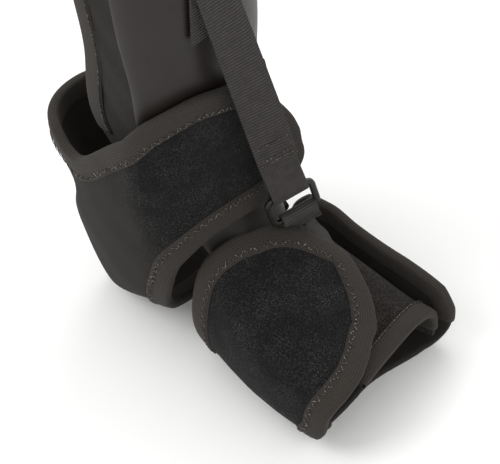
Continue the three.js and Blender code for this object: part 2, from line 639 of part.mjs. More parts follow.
// The tab goes over the ring's lower bar. Its short back layer is sewn to the front one, which turns in
// even steps and ends against the toe panel's rear edge.
function addTab() {
  const shifted = (station) => ({ ...station, at: station.at.clone().addScaledVector(pullWide, TAB_SHIFT) });
  const layer = (down, face) =>
    shifted({
      at: onPull(0, -barUp - down, face),
      wide: pullWide,
      face: pullFace.clone().multiplyScalar(Math.sign(face)),
    });
  const back = [layer(TAB_BACK, -close), layer(TAB_JOIN, -close), layer(TAB_TURN, -bend)];
  const front = [layer(TAB_TURN, bend), layer(TAB_JOIN, close), layer(TAB_BACK, close)];
  const normal = normalAt(panelForm, 0, TAB_ACROSS);
  const ahead = panelForm(0.01, TAB_ACROSS).sub(panelForm(0, TAB_ACROSS)).normalize();
  const seat = panelForm(0, TAB_ACROSS)
    .addScaledVector(normal, -PANEL_WALL / 2)
    .addScaledVector(ahead, -TAB_CLEAR - WEBBING_WALL / 2);
  const seatWide = normal.clone().cross(ahead).applyAxisAngle(new THREE.Vector3(0, 0, 1), -LEG_TURN);
  leg.worldToLocal(seat);
  const run = seat.clone().sub(front[2].at).normalize();
  seat.addScaledVector(run, TAB_PAST);
  const twist = steps(0.15, 1, 6).map((share) => {
    const wide = squareTo(pullWide.clone().lerp(seatWide, share), run);
    return { at: front[2].at.clone().lerp(seat, share), wide, face: run.clone().cross(wide) };
  });
  const stations = [...back, ...halfTurn(1).map(shifted), ...front, ...twist];
  addPiece(leg, "ring_tab", ribbon(stations, TAB_WIDTH), "webbing");
}

function addLinerTape() {
  const across = [-2, -1.75, -1.45, -1.2, ...shellAcross, 1.2, 1.45, 1.75, 2];
  const sideAlong = shellAlong.slice(1, 10);
  const edge = (u, v) => ({ u: Math.max(u, LINER_TOP + rounded(v)), v });
  const places = [
    ...sideAlong.map((u) => edge(u, -2)).reverse(),
    ...across.map((v) => edge(LINER_TOP, v)),
    ...sideAlong.map((u) => edge(u, 2)),
  ];
  addPiece(leg, "liner_tape", tape(linerForm, places, LINER_WALL, 1, 1), "tape");
}

addShell();
addLiner();
addLinerTape();
addAnkleWrap();
addFootWrap();
addToePanel();
addRing();
addLoop();
addPullStrap();
addTab();

// The part's origin is the middle of its underside.
const box = new THREE.Box3().setFromObject(splint, true);
splint.position.set(-(box.min.x + box.max.x) / 2, -(box.min.y + box.max.y) / 2, -box.min.z);

export default splint;
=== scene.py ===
"""Looks of a dorsal night splint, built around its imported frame: cloth, bindings, webbing and plastic."""

import math

import bmesh
import bpy
import numpy as np
from mathutils import Matrix, Vector


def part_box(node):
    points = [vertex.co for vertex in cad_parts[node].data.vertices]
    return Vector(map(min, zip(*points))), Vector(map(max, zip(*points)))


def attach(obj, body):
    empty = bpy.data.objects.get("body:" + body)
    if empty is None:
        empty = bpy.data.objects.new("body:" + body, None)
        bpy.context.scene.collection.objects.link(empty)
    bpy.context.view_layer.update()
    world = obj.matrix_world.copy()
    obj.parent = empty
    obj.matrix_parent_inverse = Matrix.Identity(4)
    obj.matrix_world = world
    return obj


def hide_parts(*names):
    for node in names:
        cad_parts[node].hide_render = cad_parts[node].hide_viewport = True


bl_info = {
    "name": "Night splint",
    "version": (1, 0, 0),
    "blender": (4, 5, 0),
    "location": "3D View > Sidebar > Night splint",
    "description": "Builds the soft goods, straps and plastic of a dorsal night splint",
    "category": "Object",
}

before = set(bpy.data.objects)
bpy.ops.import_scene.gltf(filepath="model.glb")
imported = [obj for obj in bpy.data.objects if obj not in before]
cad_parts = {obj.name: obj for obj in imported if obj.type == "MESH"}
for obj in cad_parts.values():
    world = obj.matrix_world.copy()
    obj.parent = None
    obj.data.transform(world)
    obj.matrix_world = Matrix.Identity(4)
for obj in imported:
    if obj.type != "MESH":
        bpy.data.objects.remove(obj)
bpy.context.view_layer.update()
MM = 0.001

# The foot wrap's rear edge and outer wall fix where the foot's own frame lies in the row frame.
FOOT_REAR = 60
FOOT_LONG = 120
FOOT_RISE = 100
FOOT_HALF = 53
FOOT_CREST = -3
WALL_SIDE = 60
WALL_CORNER = 16
FOOT_SHIFT = np.array(
    [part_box("foot_wrap")[0].x / MM - FOOT_REAR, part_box("foot_wrap")[1].y / MM - WALL_SIDE, 0]
)

# The shin part is turned about Z from the foot's own axis, and stands a little to its outer side.
LEG_TURN = math.radians(-11)
LEG_AT = np.array([2.5, 13.5, 0])

# The floor's half width and how far it lies below the sole, and the point that the lamps face, in metres
FLOOR_HALF = 6
FLOOR_GAP = 0.0002
LIT_POINT = (0, 0, 0.12)
LAMPS = (
    ("key", (-0.9, -1.0, 1.5), 1.0, 1.0),
    ("fill", (1.3, -0.5, 0.9), 1.2, 0.35),
    ("rim", (-0.4, 1.3, 1.2), 1.0, 0.5),
)

# The photograph's viewpoint in the foot's frame in millimetres, and its turn in degrees
CAMERA_AT = np.array([704.342, -849.952, 1170.176])
CAMERA_TURN = (44.32775, 2.57767, 33.85658)
CAMERA_LENS = 187.32

# Thicknesses in millimetres
SHELL_WALL = 3
LINER_WALL = 5
CLOTH_WALL = 4
PANEL_WALL = 3.5
WEBBING_WALL = 1.6
FIT = 0.35

# Sizes of the shell and liner, in millimetres
SHELL_TOP = 292
SHELL_FRONT = 61
SHELL_HALF = 50
SHELL_DEEP = 28
LINER_REACH = 35

# The shell's reach round the shin and the rounding of its corners, as shares of its arc and length
SHELL_ACROSS = 0.97
SHELL_CORNER = 0.035
SHELL_CORNER_FROM = 0.62
SHELL_CORNER_LOW = 1.6

# The liner's lean, ends, reach and rounded upper corners, and the ends of its binding, as shares
LINER_LEAN = 0.1
LINER_TOP = -0.08
LINER_END = 0.99
LINER_ACROSS = 2
LINER_ROUND = 0.1
LINER_ROUND_FROM = 1.3
LINER_ROUND_WIDE = 0.71
LINER_TAPE_LOW = 0.56
LINER_TAPE_TOP = 0.03

# Sizes of the ankle wrap and its heel hole, in millimetres
WRAP_TOP = 212
WRAP_FRONT = 69
WRAP_BACK = 59
WRAP_HALF = 51
FLAP_REACH = 69
HEEL_MIDDLE = (-62, -14, 33)
HEEL_SIZE = (35, 62, 43)

# Power that rounds the back of the ankle wrap's loops: below 1 they are fuller there
BACK_ROUND = 0.85

# Where the pile starts round the ankle wrap, how much it slants and how fast it fades, as shares
NAP_FROM = 0.47
NAP_SLANT = 0.08
NAP_FADE = 0.1

# Turns round the foot wrap in degrees: flap's tip, sole, the sole's outer corner, the wall and its rim
FLAP_TIP = 61
SOLE_FROM = 270
SOLE_TO = 300
WALL_FROM = 330
WALL_TO = 360

# Turns in degrees at which the foot wrap's pile ends and its two bindings begin
PILE_TO = 230
FLAP_TAPE_FROM = 240
WALL_TAPE_FROM = 334

# Sizes of the toe panel, in millimetres
PANEL_REAR = 95
PANEL_LONG = 77
PANEL_SLANT = 8
PANEL_HALF = 52
PANEL_FOOT = 12
FLAP_LIFT = 5.2

# Powers of the toe panel's crown at its rear and front, and its turn under the flap in degrees
PANEL_CROWN = 3
PANEL_CROWN_FRONT = 2.4
PANEL_TURN = 118

# Shares of the toe panel's width: where it drops to the wall, where its rear edge slants, its binding's end
PANEL_EDGE = 0.8
PANEL_SLANT_FROM = 0.3
PANEL_SLANT_WIDE = 0.2
PANEL_TAPE_TO = 0.9

# The wall's and panel's binding width and the panel's unevenness, as shares of the settings
WALL_TAPE_SHARE = 0.85
PANEL_TAPE_SHARE = 0.8
PANEL_SOFT = 0.8

# Sizes of the ring in millimetres, and its middle and the way of its long bars in the shin's frame
RING_WIDE = 33
RING_TALL = 22
RING_BAR = 2.8
RING_SIDE = 4
RING_DEEP = 3.2
RING_CORNER = 5
RING_SOFT = 0.9
RING_AT = np.array([88, 22.8, 107.4])
RING_WAY = np.array([0.306, 0.928, 0.206])

# The pull strap's top fold and the end of its return, as shares of the shell's front line
STRAP_TOP = 0.03
STRAP_RETURN = 0.15

# Sizes of the pull strap, loop and tab, in millimetres
STRAP_SIDE = -9
STRAP_FOLD = 1.65
STRAP_END = 38.5
LOOP_WIDTH = 23
LOOP_LONG = 47
LOOP_JOIN = 30
LOOP_OPEN = 5
TAB_WIDTH = 22.5
TAB_SHIFT = 1.6
TAB_RISE = 2

# The tab's direction across the toe panel, and its stations there as shares along and across the panel
TAB_WAY = np.array([-0.07, 0.888, -0.455])
TAB_ALONG = np.array([0.02, 0.1, 0.2])
TAB_ACROSS = np.array([0.45, 0.4, 0.33])

# Bindings in millimetres: step between stations, wall, fold, gathers and the seam's height
TAPE_STEP = 3
TAPE_WALL = 0.6
TAPE_RISE = 1.3
TAPE_OUT = 2.2
TAPE_GATHER = 0.25
GATHER_LONG = 3.1
WALK_STEP = 2
SEAM_LIFT = 1.6

# Stations round a binding's fold in degrees, and its tightest bend as a share of its width
TAPE_FOLD = (20, 50, 90, 130, 160)
TAPE_BEND = 0.7

# Rounding of edges, in millimetres
SHELL_SOFT = 0.9
LINER_SOFT = 1
PANEL_EDGE_SOFT = 1.2
WEBBING_SOFT = 0.5

# Threads in millimetres, and the places of the strap's straight seams above its lower end
THREAD_RADIUS = 0.35
THREAD_LIFT = 0.15
STRAP_SEAMS = (3, 6, 16.5)

# Stitches in a straight row, the row's half length as a share of the strap, and the gap in each stitch
ROW_STITCHES = 8
ROW_REACH = 0.42
ROW_GAP = 0.12


def table(names, *rows):
    """Columns of numbers by name."""
    return dict(zip(names.split(), np.array(rows, float).T))


# Front line of the shell from top to toes, as shares of the sizes above
SHELL_ROWS = table(
    "along x z half deep side reach",
    (0.0, 1.03, 1.0, 1.02, 1.25, 0, 1.12),
    (0.15, 1.0, 0.856, 1.0, 1.05, 0, 1.12),
    (0.32, 0.965, 0.7, 0.94, 0.8, 0, 1.24),
    (0.49, 0.945, 0.548, 0.87, 0.8, 1, 1.42),
    (0.62, 0.95, 0.45, 0.79, 0.7, 3, 1.35),
    (0.73, 0.985, 0.375, 0.7, 0.54, 5, 0.9),
    (0.82, 1.11, 0.315, 0.62, 0.42, 8, 0.45),
    (0.91, 1.29, 0.283, 0.54, 0.4, 7, 0.4),
    (1.0, 1.45, 0.258, 0.45, 0.38, 5, 0.4),
)

# Loops of the ankle wrap, fanned from the shin to the instep
WRAP_ROWS = table(
    "along frontX frontZ backX backZ inner outer nose side",
    (0.0, 0.95, 1.0, -1.15, 0.62, 1.03, 1.08, 0.24, -2),
    (0.25, 0.95, 0.863, -1.02, 0.44, 1.0, 1.12, 0.24, -5),
    (0.5, 0.952, 0.731, -0.8, 0.2, 0.9, 1.17, 0.26, -11),
    (0.75, 0.98, 0.59, -0.36, 0.0, 0.81, 1.17, 0.33, -11),
    (1.0, 1.055, 0.46, 0.56, 0.07, 0.83, 0.99, 0.42, -3),
)

# Outline of the ankle wrap's cloth on those loops: turn is in degrees round the leg from the front
WRAP_OUTLINE = table(
    "along turn out top low",
    (0.0, 84, 0, 0.22, 1.0),
    (0.08, 102, 0, 0.2, 1.0),
    (0.2, 140, 0, 0.13, 1.0),
    (0.32, 180, 0, 0.04, 1.0),
    (0.41, 215, 0, 0.12, 1.0),
    (0.48, 240, 0, 0.25, 0.985),
    (0.56, 270, 0, 0.15, 0.96),
    (0.64, 300, 0, 0.09, 0.92),
    (0.72, 330, 0, 0.08, 0.913),
    (0.78, 345, 0.04, 0.1, 0.925),
    (0.84, 350, 0.33, 0.17, 0.94),
    (0.9, 350, 0.62, 0.3, 0.935),
    (0.95, 350, 0.84, 0.48, 0.9),
    (0.98, 350, 0.95, 0.6, 0.86),
    (1.0, 350, 1.0, 0.69, 0.82),
)

# A binding's face: share of its width from the cloth's edge, height over the cloth, and if it gathers there
TAPE_ROWS = table(
    "share lift gathers",
    (1.0, 0.2, 0),
    (0.93, 0.9, 1),
    (0.7, 1.3, 1),
    (0.45, 1.4, 1),
    (0.22, 1.4, 1),
    (0.06, 1.3, 0),
)

# The three sine waves whose sum is the cloth's unevenness
WAVES = table(
    "high x y z start",
    (1.0, 5.1, 2.3, 1.7, 0.4),
    (0.7, 1.9, -4.7, 3.3, 2.1),
    (0.5, 5.9, -3.1, 7.3, 4.0),
)

# How far the ankle wrap's rear inner side stands out, in millimetres: a flared lip above a narrower neck
LIP_ROWS = table(
    "along out",
    (0.0, 4),
    (0.1, 5),
    (0.2, 4.5),
    (0.28, 1),
    (0.36, -3),
    (0.45, 0),
    (1.0, 0),
)
LIP_WAY = np.array([-0.83, -0.557, 0])
LIP_FROM = 0.24
LIP_TO = 0.54

# Cross-sections of the foot wrap from the heel side to the toes, as shares of its sizes
FOOT_ROWS = table(
    "along rise inner waist square crown wall",
    (0.0, 0.97, 0.67, 0.46, 2.0, 2.4, 0.66),
    (0.12, 0.945, 0.76, 0.43, 2.15, 2.8, 0.7),
    (0.27, 0.88, 0.88, 0.4, 2.4, 3.0, 0.69),
    (0.42, 0.8, 0.98, 0.36, 2.75, 3.0, 0.61),
    (0.58, 0.71, 1.04, 0.32, 3.0, 2.8, 0.545),
    (0.73, 0.63, 1.06, 0.29, 3.05, 2.6, 0.5),
    (0.85, 0.575, 1.07, 0.27, 3.0, 2.4, 0.45),
    (1.0, 0.53, 1.06, 0.25, 2.9, 2.4, 0.36),
)

# Rear and front edges of the foot wrap's cloth at each turn round the foot, in degrees
FOOT_OUTLINE = table(
    "along rear front",
    (61, 0.49, 0.53),
    (63, 0.465, 0.565),
    (66, 0.425, 0.605),
    (70, 0.365, 0.654),
    (75, 0.3, 0.713),
    (82, 0.23, 0.782),
    (91, 0.158, 0.851),
    (102, 0.114, 0.9),
    (118, 0.068, 0.923),
    (134, 0.026, 0.917),
    (150, 0.006, 0.897),
    (180, 0.0, 0.85),
    (225, 0.0, 0.765),
    (270, 0.0, 0.78),
    (300, 0.0, 0.9),
    (330, 0.005, 0.975),
    (345, 0.03, 0.98),
    (354, 0.075, 0.955),
    (360, 0.15, 0.925),
)


def column(rows, name, along):
    """Smooth value of a named column at places along a table, with no overshoot."""
    at, value = rows["along"], rows[name]
    along = np.asarray(along, float)
    rate = np.diff(value) / np.diff(at)
    before, after = rate[:-1], rate[1:]
    same = before * after > 0
    slope = np.concatenate(
        [rate[:1], np.where(same, 2 * before * after / np.where(same, before + after, 1), 0), rate[-1:]]
    )
    i = np.clip(np.searchsorted(at, along) - 1, 0, len(at) - 2)
    span = at[i + 1] - at[i]
    t = (along - at[i]) / span
    inside = (
        (2 * t**3 - 3 * t**2 + 1) * value[i]
        + (t**3 - 2 * t**2 + t) * span * slope[i]
        + (3 * t**2 - 2 * t**3) * value[i + 1]
        + (t**3 - t**2) * span * slope[i + 1]
    )
    first = value[i] + t * span * slope[i]
    last = value[i + 1] + (t - 1) * span * slope[i + 1]
    return np.where(t < 0, first, np.where(t > 1, last, inside))


def stacked(x, y, z):
    """Points from their three coordinates."""
    return np.stack(np.broadcast_arrays(x, y, z), -1).astype(float)


def unit(vectors):
    """Vectors of length one."""
    return vectors / np.linalg.norm(vectors, axis=-1, keepdims=True)


def in_row(points):
    """Points of the foot's frame in millimetres, in the row frame in metres."""
    return (points + FOOT_SHIFT) * MM


def turned(vectors):
    """Vectors of the shin's frame, in the foot's frame."""
    c, s = math.cos(LEG_TURN), math.sin(LEG_TURN)
    x, y, z = np.moveaxis(np.asarray(vectors, float), -1, 0)
    return stacked(c * x - s * y, s * x + c * y, z)


def from_leg(points):
    """Points of the shin's frame in millimetres, in the row frame in metres."""
    return in_row(turned(points) + LEG_AT)


def normals(form, u, v, step=1e-3):
    """Unit normals of a form at places on it."""
    along = form(u + step, v) - form(u - step, v)
    across = form(u, v + step) - form(u, v - step)
    return unit(np.cross(along, across))


def waves(points, size):
    """Smooth unevenness of hand-shaped cloth from -1 to 1, about size metres long."""
    x, y, z = np.moveaxis(points / size, -1, 0)
    rows = zip(*(WAVES[name] for name in ("high", "x", "y", "z", "start")))
    total = sum(high * np.sin(a * x + b * y + c * z + start) for high, a, b, c, start in rows)
    return total / WAVES["high"].sum()


def softened(form, amount, size):
    """The form with the slight unevenness of cloth, amount metres high."""

    def uneven(u, v):
        points = form(u, v)
        return points + normals(form, u, v) * (amount * waves(points, size))[..., None]

    return uneven


def shell_line(along):
    """Points of the shell's front line in the shin's frame, and their outward directions."""

    def at(place):
        x, z = column(SHELL_ROWS, "x", place), column(SHELL_ROWS, "z", place)
        return stacked(x * SHELL_FRONT, 0, z * SHELL_TOP)

    run = unit(at(along + 0.01) - at(along - 0.01))
    return at(along), stacked(-run[..., 2], 0, run[..., 0])


def trough(along, across, inset=0):
    """Face of the shell or liner; past 1 across, the liner's sides go on straight back."""
    along, across = np.broadcast_arrays(np.asarray(along, float), across)
    at, out = shell_line(along)
    half = column(SHELL_ROWS, "half", along) * SHELL_HALF - inset
    deep = column(SHELL_ROWS, "deep", along) * SHELL_DEEP - inset
    turn = np.minimum(np.abs(across), 1) * math.pi / 2
    past = np.maximum(np.abs(across) - 1, 0) * column(SHELL_ROWS, "reach", along) * LINER_REACH
    side = np.sign(across) * (half * np.sin(turn) - LINER_LEAN * past)
    back = inset + deep * (1 - np.cos(turn)) + past
    shift = stacked(0, side + column(SHELL_ROWS, "side", along), 0)
    return from_leg(at - out * back[..., None] + shift)


def liner_form(along, across):
    """Outer face of the liner."""
    return trough(along, across, SHELL_WALL + FIT)


def ankle_form(along, strip):
    """Outer face of the ankle wrap: along from shin to instep, strip round the leg to the flap's tip."""
    along, strip = np.broadcast_arrays(np.asarray(along, float), strip)
    angle = np.radians(column(WRAP_OUTLINE, "turn", strip))
    out = column(WRAP_OUTLINE, "out", strip) * FLAP_REACH
    c, s = np.cos(angle), np.sin(angle)
    nose = column(WRAP_ROWS, "nose", along)
    share = np.where(c > 0, nose * (1 - c), nose - (1 - nose) * c)
    full = np.where(c > 0, s, np.sign(s) * np.abs(s) ** BACK_ROUND)
    wide = np.where(s > 0, column(WRAP_ROWS, "outer", along), column(WRAP_ROWS, "inner", along))
    front_x = column(WRAP_ROWS, "frontX", along) * WRAP_FRONT
    front_z = column(WRAP_ROWS, "frontZ", along) * WRAP_TOP
    back_x = column(WRAP_ROWS, "backX", along) * WRAP_BACK
    back_z = column(WRAP_ROWS, "backZ", along) * WRAP_TOP
    near = np.sin(math.pi * np.clip((strip - LIP_FROM) / (LIP_TO - LIP_FROM), 0, 1)) ** 2
    lip = LIP_WAY * (near * column(LIP_ROWS, "out", along))[..., None]
    return from_leg(
        lip
        + stacked(
            front_x + (back_x - front_x) * share,
            WRAP_HALF * wide * full + column(WRAP_ROWS, "side", along) + out,
            front_z + (back_z - front_z) * share,
        )
    )


def squared(value, power):
    """Signed power, for squared-off ellipses."""
    return np.sign(value) * np.abs(value) ** (2 / power)


def foot_section(along, turn, inset):
    """Place on a rounded section of the foot, in millimetres of its own frame."""
    waist = column(FOOT_ROWS, "waist", along) * FOOT_RISE
    top = column(FOOT_ROWS, "rise", along) * FOOT_RISE - waist - inset
    angle = np.radians(turn)
    outer = turn < 90
    power = np.where(outer, column(FOOT_ROWS, "crown", along), column(FOOT_ROWS, "square", along))
    half = np.where(outer, 1, column(FOOT_ROWS, "inner", along)) * FOOT_HALF - inset
    up = squared(np.sin(angle), power)
    return stacked(
        FOOT_REAR + FOOT_LONG * along,
        FOOT_CREST + half * squared(np.cos(angle), power),
        waist + np.where(up > 0, top, waist - inset) * up,
    )


def foot_form(turn, along):
    """Outer face of the foot wrap: round the foot to the sole, over it and up the outer wall."""
    turn, along = np.broadcast_arrays(np.asarray(turn, float), along)
    rounded = foot_section(along, np.minimum(turn, SOLE_FROM), 0)
    x = FOOT_REAR + FOOT_LONG * along
    flat = WALL_SIDE - WALL_CORNER - FOOT_CREST
    sole = stacked(x, FOOT_CREST + flat * (turn - SOLE_FROM) / (SOLE_TO - SOLE_FROM), 0)
    bend = (np.clip(turn, SOLE_TO, WALL_FROM) - SOLE_TO) / (WALL_FROM - SOLE_TO)
    corner = bend * math.pi / 2
    rim = column(FOOT_ROWS, "wall", along) * FOOT_RISE - WALL_CORNER
    up = (np.maximum(turn, WALL_FROM) - WALL_FROM) / (WALL_TO - WALL_FROM)
    wall = stacked(
        x, WALL_SIDE - WALL_CORNER * (1 - np.sin(corner)), WALL_CORNER * (1 - np.cos(corner)) + rim * up
    )
    under = np.where((turn <= SOLE_TO)[..., None], sole, wall)
    return in_row(np.where((turn <= SOLE_FROM)[..., None], rounded, under))


def panel_form(along, across):
    """Outer face of the toe panel: along from its rear edge, across from the flap to the outer wall."""
    along, across = np.broadcast_arrays(np.asarray(along, float), across)
    turn = PANEL_TURN * (1 - np.minimum(across / PANEL_EDGE, 1))
    ease = np.clip((across - PANEL_SLANT_FROM) / PANEL_SLANT_WIDE, 0, 1)
    rear = PANEL_REAR - PANEL_SLANT * ease**2 * (3 - 2 * ease) * (1 - along)
    row = (rear + PANEL_LONG * along - FOOT_REAR) / FOOT_LONG
    place = foot_section(row, turn, CLOTH_WALL + FLAP_LIFT)
    waist = column(FOOT_ROWS, "waist", row) * FOOT_RISE
    top = column(FOOT_ROWS, "rise", row) * FOOT_RISE - waist - CLOTH_WALL - FLAP_LIFT
    power = PANEL_CROWN + (PANEL_CROWN_FRONT - PANEL_CROWN) * along
    angle = np.radians(np.minimum(turn, 90))
    boxy = stacked(
        place[..., 0],
        FOOT_CREST + PANEL_HALF * squared(np.cos(angle), power),
        waist + top * squared(np.sin(angle), power),
    )
    place = np.where((turn < 90)[..., None], boxy, place)
    drop = np.maximum(across - PANEL_EDGE, 0) / (1 - PANEL_EDGE) * (place[..., 2] - PANEL_FOOT)
    return in_row(place - stacked(0, 0, drop))


def linear(colour):
    """An sRGB hex colour as the linear values that shaders take."""
    channels = [int(colour[i : i + 2], 16) / 255 for i in (1, 3, 5)]
    return tuple(c / 12.92 if c <= 0.04045 else ((c + 0.055) / 1.055) ** 2.4 for c in channels) + (1.0,)


def add_node(tree, kind, links=None, inputs=None, **settings):
    """A node with its settings, its own values and its links from other nodes' outputs."""
    made = tree.nodes.new(kind)
    for key, value in settings.items():
        setattr(made, key, value)
    for socket, value in (inputs or {}).items():
        made.inputs[socket].default_value = value
    for socket, (source, output) in (links or {}).items():
        tree.links.new(source.outputs[output], made.inputs[socket])
    return made


def new_material(name, colour, roughness, **values):
    """A material with its shader set, and the shader's tree."""
    made = bpy.data.materials.new(name)
    made.use_nodes = True
    made.diffuse_color = linear(colour)
    tree = made.node_tree
    shader = tree.nodes["Principled BSDF"]
    shader.inputs["Base Color"].default_value = linear(colour)
    shader.inputs["Roughness"].default_value = roughness
    for socket, value in values.items():
        shader.inputs[socket.replace("_", " ")].default_value = value
    return made, tree, shader


def add_bump(tree, shader, height, strength, distance):
    """Relief on a shader from a height."""
    bump = add_node(
        tree, "ShaderNodeBump", {"Height": height}, {"Strength": strength, "Distance": distance}
    )
    tree.links.new(bump.outputs["Normal"], shader.inputs["Normal"])


def ribs(tree, coordinate, pitch):
    """Height from 0 to 1 of ribs a pitch apart along one coordinate in metres."""
    turn = add_node(
        tree, "ShaderNodeMath", {0: coordinate}, {1: 2 * math.pi / pitch}, operation="MULTIPLY"
    )
    wave = add_node(tree, "ShaderNodeMath", {0: (turn, 0)}, operation="SINE")
    return add_node(
        tree, "ShaderNodeMath", {0: (wave, 0)}, {1: 0.5, 2: 0.5}, operation="MULTIPLY_ADD"
    )


def pile_material(finish):
    """Brushed loop pile on neoprene: matt, near black, with light fibre tips, and smooth where nap is 0."""
    made, tree, shader = new_material(
        "loop_pile_neoprene", finish.pile, 0.92, Specular_IOR_Level=0.1, Sheen_Weight=0.03
    )
    place = add_node(tree, "ShaderNodeTexCoord")
    # Fibre tips are about 0.5 mm in life, and are drawn 0.9 mm across to show.
    tips = add_node(
        tree,
        "ShaderNodeTexNoise",
        {"Vector": (place, "Object")},
        {"Scale": 1 / (0.9 * MM), "Detail": 3.0, "Roughness": 0.75},
    )
    patches = add_node(
        tree,
        "ShaderNodeTexNoise",
        {"Vector": (place, "Object")},
        {"Scale": 1 / (14 * MM), "Detail": 2.0},
    )
    lit = add_node(
        tree,
        "ShaderNodeMapRange",
        {"Value": (tips, "Fac")},
        {"From Min": 0.46, "From Max": 0.7},
    )
    strength = add_node(
        tree,
        "ShaderNodeMapRange",
        {"Value": (patches, "Fac")},
        {"From Min": 0.3, "From Max": 0.7, "To Min": 0.25, "To Max": 1.0},
    )
    fleck = add_node(tree, "ShaderNodeMath", {0: (lit, 0), 1: (strength, 0)}, operation="MULTIPLY")
    brushed = add_node(
        tree,
        "ShaderNodeMix",
        {0: (fleck, 0)},
        {6: linear(finish.pile), 7: linear(finish.tips)},
        data_type="RGBA",
    )
    nap = add_node(tree, "ShaderNodeAttribute", attribute_name="nap")
    mixed = add_node(
        tree,
        "ShaderNodeMix",
        {0: (nap, "Fac"), 7: (brushed, 2)},
        {6: linear(finish.neoprene)},
        data_type="RGBA",
    )
    tree.links.new(mixed.outputs[2], shader.inputs["Base Color"])
    add_bump(tree, shader, (tips, "Fac"), 0.55, 0.7 * MM)
    return made


def binding_material(finish):
    """Folded knitted binding: matt stretch tape with fine ribs along it, with painted shade between the
    ribs.
    """
    made, tree, shader = new_material(
        "ribbed_binding", finish.binding, 0.8, Specular_IOR_Level=0.15, Sheen_Weight=0.03
    )
    flat = add_node(tree, "ShaderNodeUVMap", uv_map="flat")
    axes = add_node(tree, "ShaderNodeSeparateXYZ", {0: (flat, 0)})
    # The tape's ribs are about 1 mm apart in life, and are drawn 1.5 mm apart to show.
    lines = ribs(tree, (axes, "Y"), 1.5 * MM)
    place = add_node(tree, "ShaderNodeTexCoord")
    fuzz = add_node(
        tree,
        "ShaderNodeTexNoise",
        {"Vector": (place, "Object")},
        {"Scale": 1 / (1.6 * MM), "Detail": 3.0},
    )
    height = add_node(
        tree, "ShaderNodeMath", {0: (lines, 0), 1: (fuzz, "Fac")}, operation="ADD"
    )
    # Painted shade: the tape is painted darker in the grooves between its ribs and lighter on their crests,
    # and the fuzz adds random tone.
    shade = add_node(
        tree,
        "ShaderNodeMapRange",
        {"Value": (height, 0)},
        {"From Min": 0.2, "From Max": 1.7, "To Min": 0.0, "To Max": 1.0},
    )
    colour = add_node(
        tree,
        "ShaderNodeMix",
        {0: (shade, 0)},
        {6: linear(finish.binding_painted_shade), 7: linear(finish.binding)},
        data_type="RGBA",
    )
    tree.links.new(colour.outputs[2], shader.inputs["Base Color"])
    add_bump(tree, shader, (height, 0), 0.4, 0.4 * MM)
    return made


def webbing_material(finish):
    """Ribbed polyester webbing: cross ribs of the weft over fine warp threads, slightly shiny."""
    return woven(finish, "ribbed_webbing", 2.1 * MM, 0.6)


def tape_material(finish):
    """Plain polyester tape of the loop and tab: the same thread, woven flat and fine."""
    return woven(finish, "plain_webbing", 1.3 * MM, 0.25)


def woven(finish, name, rib, relief):
    """Webbing with weft ribs a distance apart in metres, painted lighter on its raised threads and with
    painted shade between them.
    """
    made, tree, shader = new_material(
        name, finish.webbing, 0.6, Specular_IOR_Level=0.2, Sheen_Weight=0.04
    )
    flat = add_node(tree, "ShaderNodeUVMap", uv_map="flat")
    axes = add_node(tree, "ShaderNodeSeparateXYZ", {0: (flat, 0)})
    weft = ribs(tree, (axes, "X"), rib)
    # Warp threads are about 0.6 mm apart in life, and are drawn 1.2 mm apart to show.
    warp = ribs(tree, (axes, "Y"), 1.2 * MM)
    weave = add_node(tree, "ShaderNodeMath", {0: (weft, 0), 1: (warp, 0)}, operation="MULTIPLY")
    height = add_node(
        tree, "ShaderNodeMath", {0: (weft, 0), 1: (weave, 0)}, operation="ADD"
    )
    place = add_node(tree, "ShaderNodeTexCoord")
    # Random patches over which the raised threads are painted lighter or darker.
    shade_patches = add_node(
        tree,
        "ShaderNodeTexNoise",
        {"Vector": (place, "Object")},
        {"Scale": 1 / (4 * MM), "Detail": 4.0},
    )
    lifted = add_node(
        tree,
        "ShaderNodeMath",
        {0: (height, 0), 1: (shade_patches, "Fac")},
        operation="MULTIPLY",
    )
    # Painted shade: the webbing is painted darker between its threads and lighter on the raised threads.
    shade = add_node(
        tree, "ShaderNodeMapRange", {"Value": (lifted, 0)}, {"From Min": 0.1, "From Max": 1.1}
    )
    colour = add_node(
        tree,
        "ShaderNodeMix",
        {0: (shade, 0)},
        {6: linear(finish.webbing_painted_shade), 7: linear(finish.webbing)},
        data_type="RGBA",
    )
    tree.links.new(colour.outputs[2], shader.inputs["Base Color"])
    add_bump(tree, shader, (height, 0), relief, 0.5 * MM)
    return made


def shell_material(finish):
    """Moulded polypropylene: satin dark grey, with a faint moulded grain and light scuffs."""
    made, tree, shader = new_material(
        "moulded_polypropylene", finish.shell, 0.42, IOR=1.49, Specular_IOR_Level=0.3
    )
    place = add_node(tree, "ShaderNodeTexCoord")
    grain = add_node(
        tree,
        "ShaderNodeTexNoise",
        {"Vector": (place, "Object")},
        {"Scale": 1 / (1.2 * MM), "Detail": 2.0},
    )
    scuffs = add_node(
        tree,
        "ShaderNodeTexNoise",
        {"Vector": (place, "Object")},
        {"Scale": 1 / (30 * MM), "Detail": 5.0, "Roughness": 0.6},
    )
    rough = add_node(
        tree,
        "ShaderNodeMapRange",
        {"Value": (scuffs, "Fac")},
        {"From Min": 0.3, "From Max": 0.7, "To Min": 0.36, "To Max": 0.48},
    )
    tree.links.new(rough.outputs[0], shader.inputs["Roughness"])
    add_bump(tree, shader, (grain, "Fac"), 0.12, 0.2 * MM)
    return made


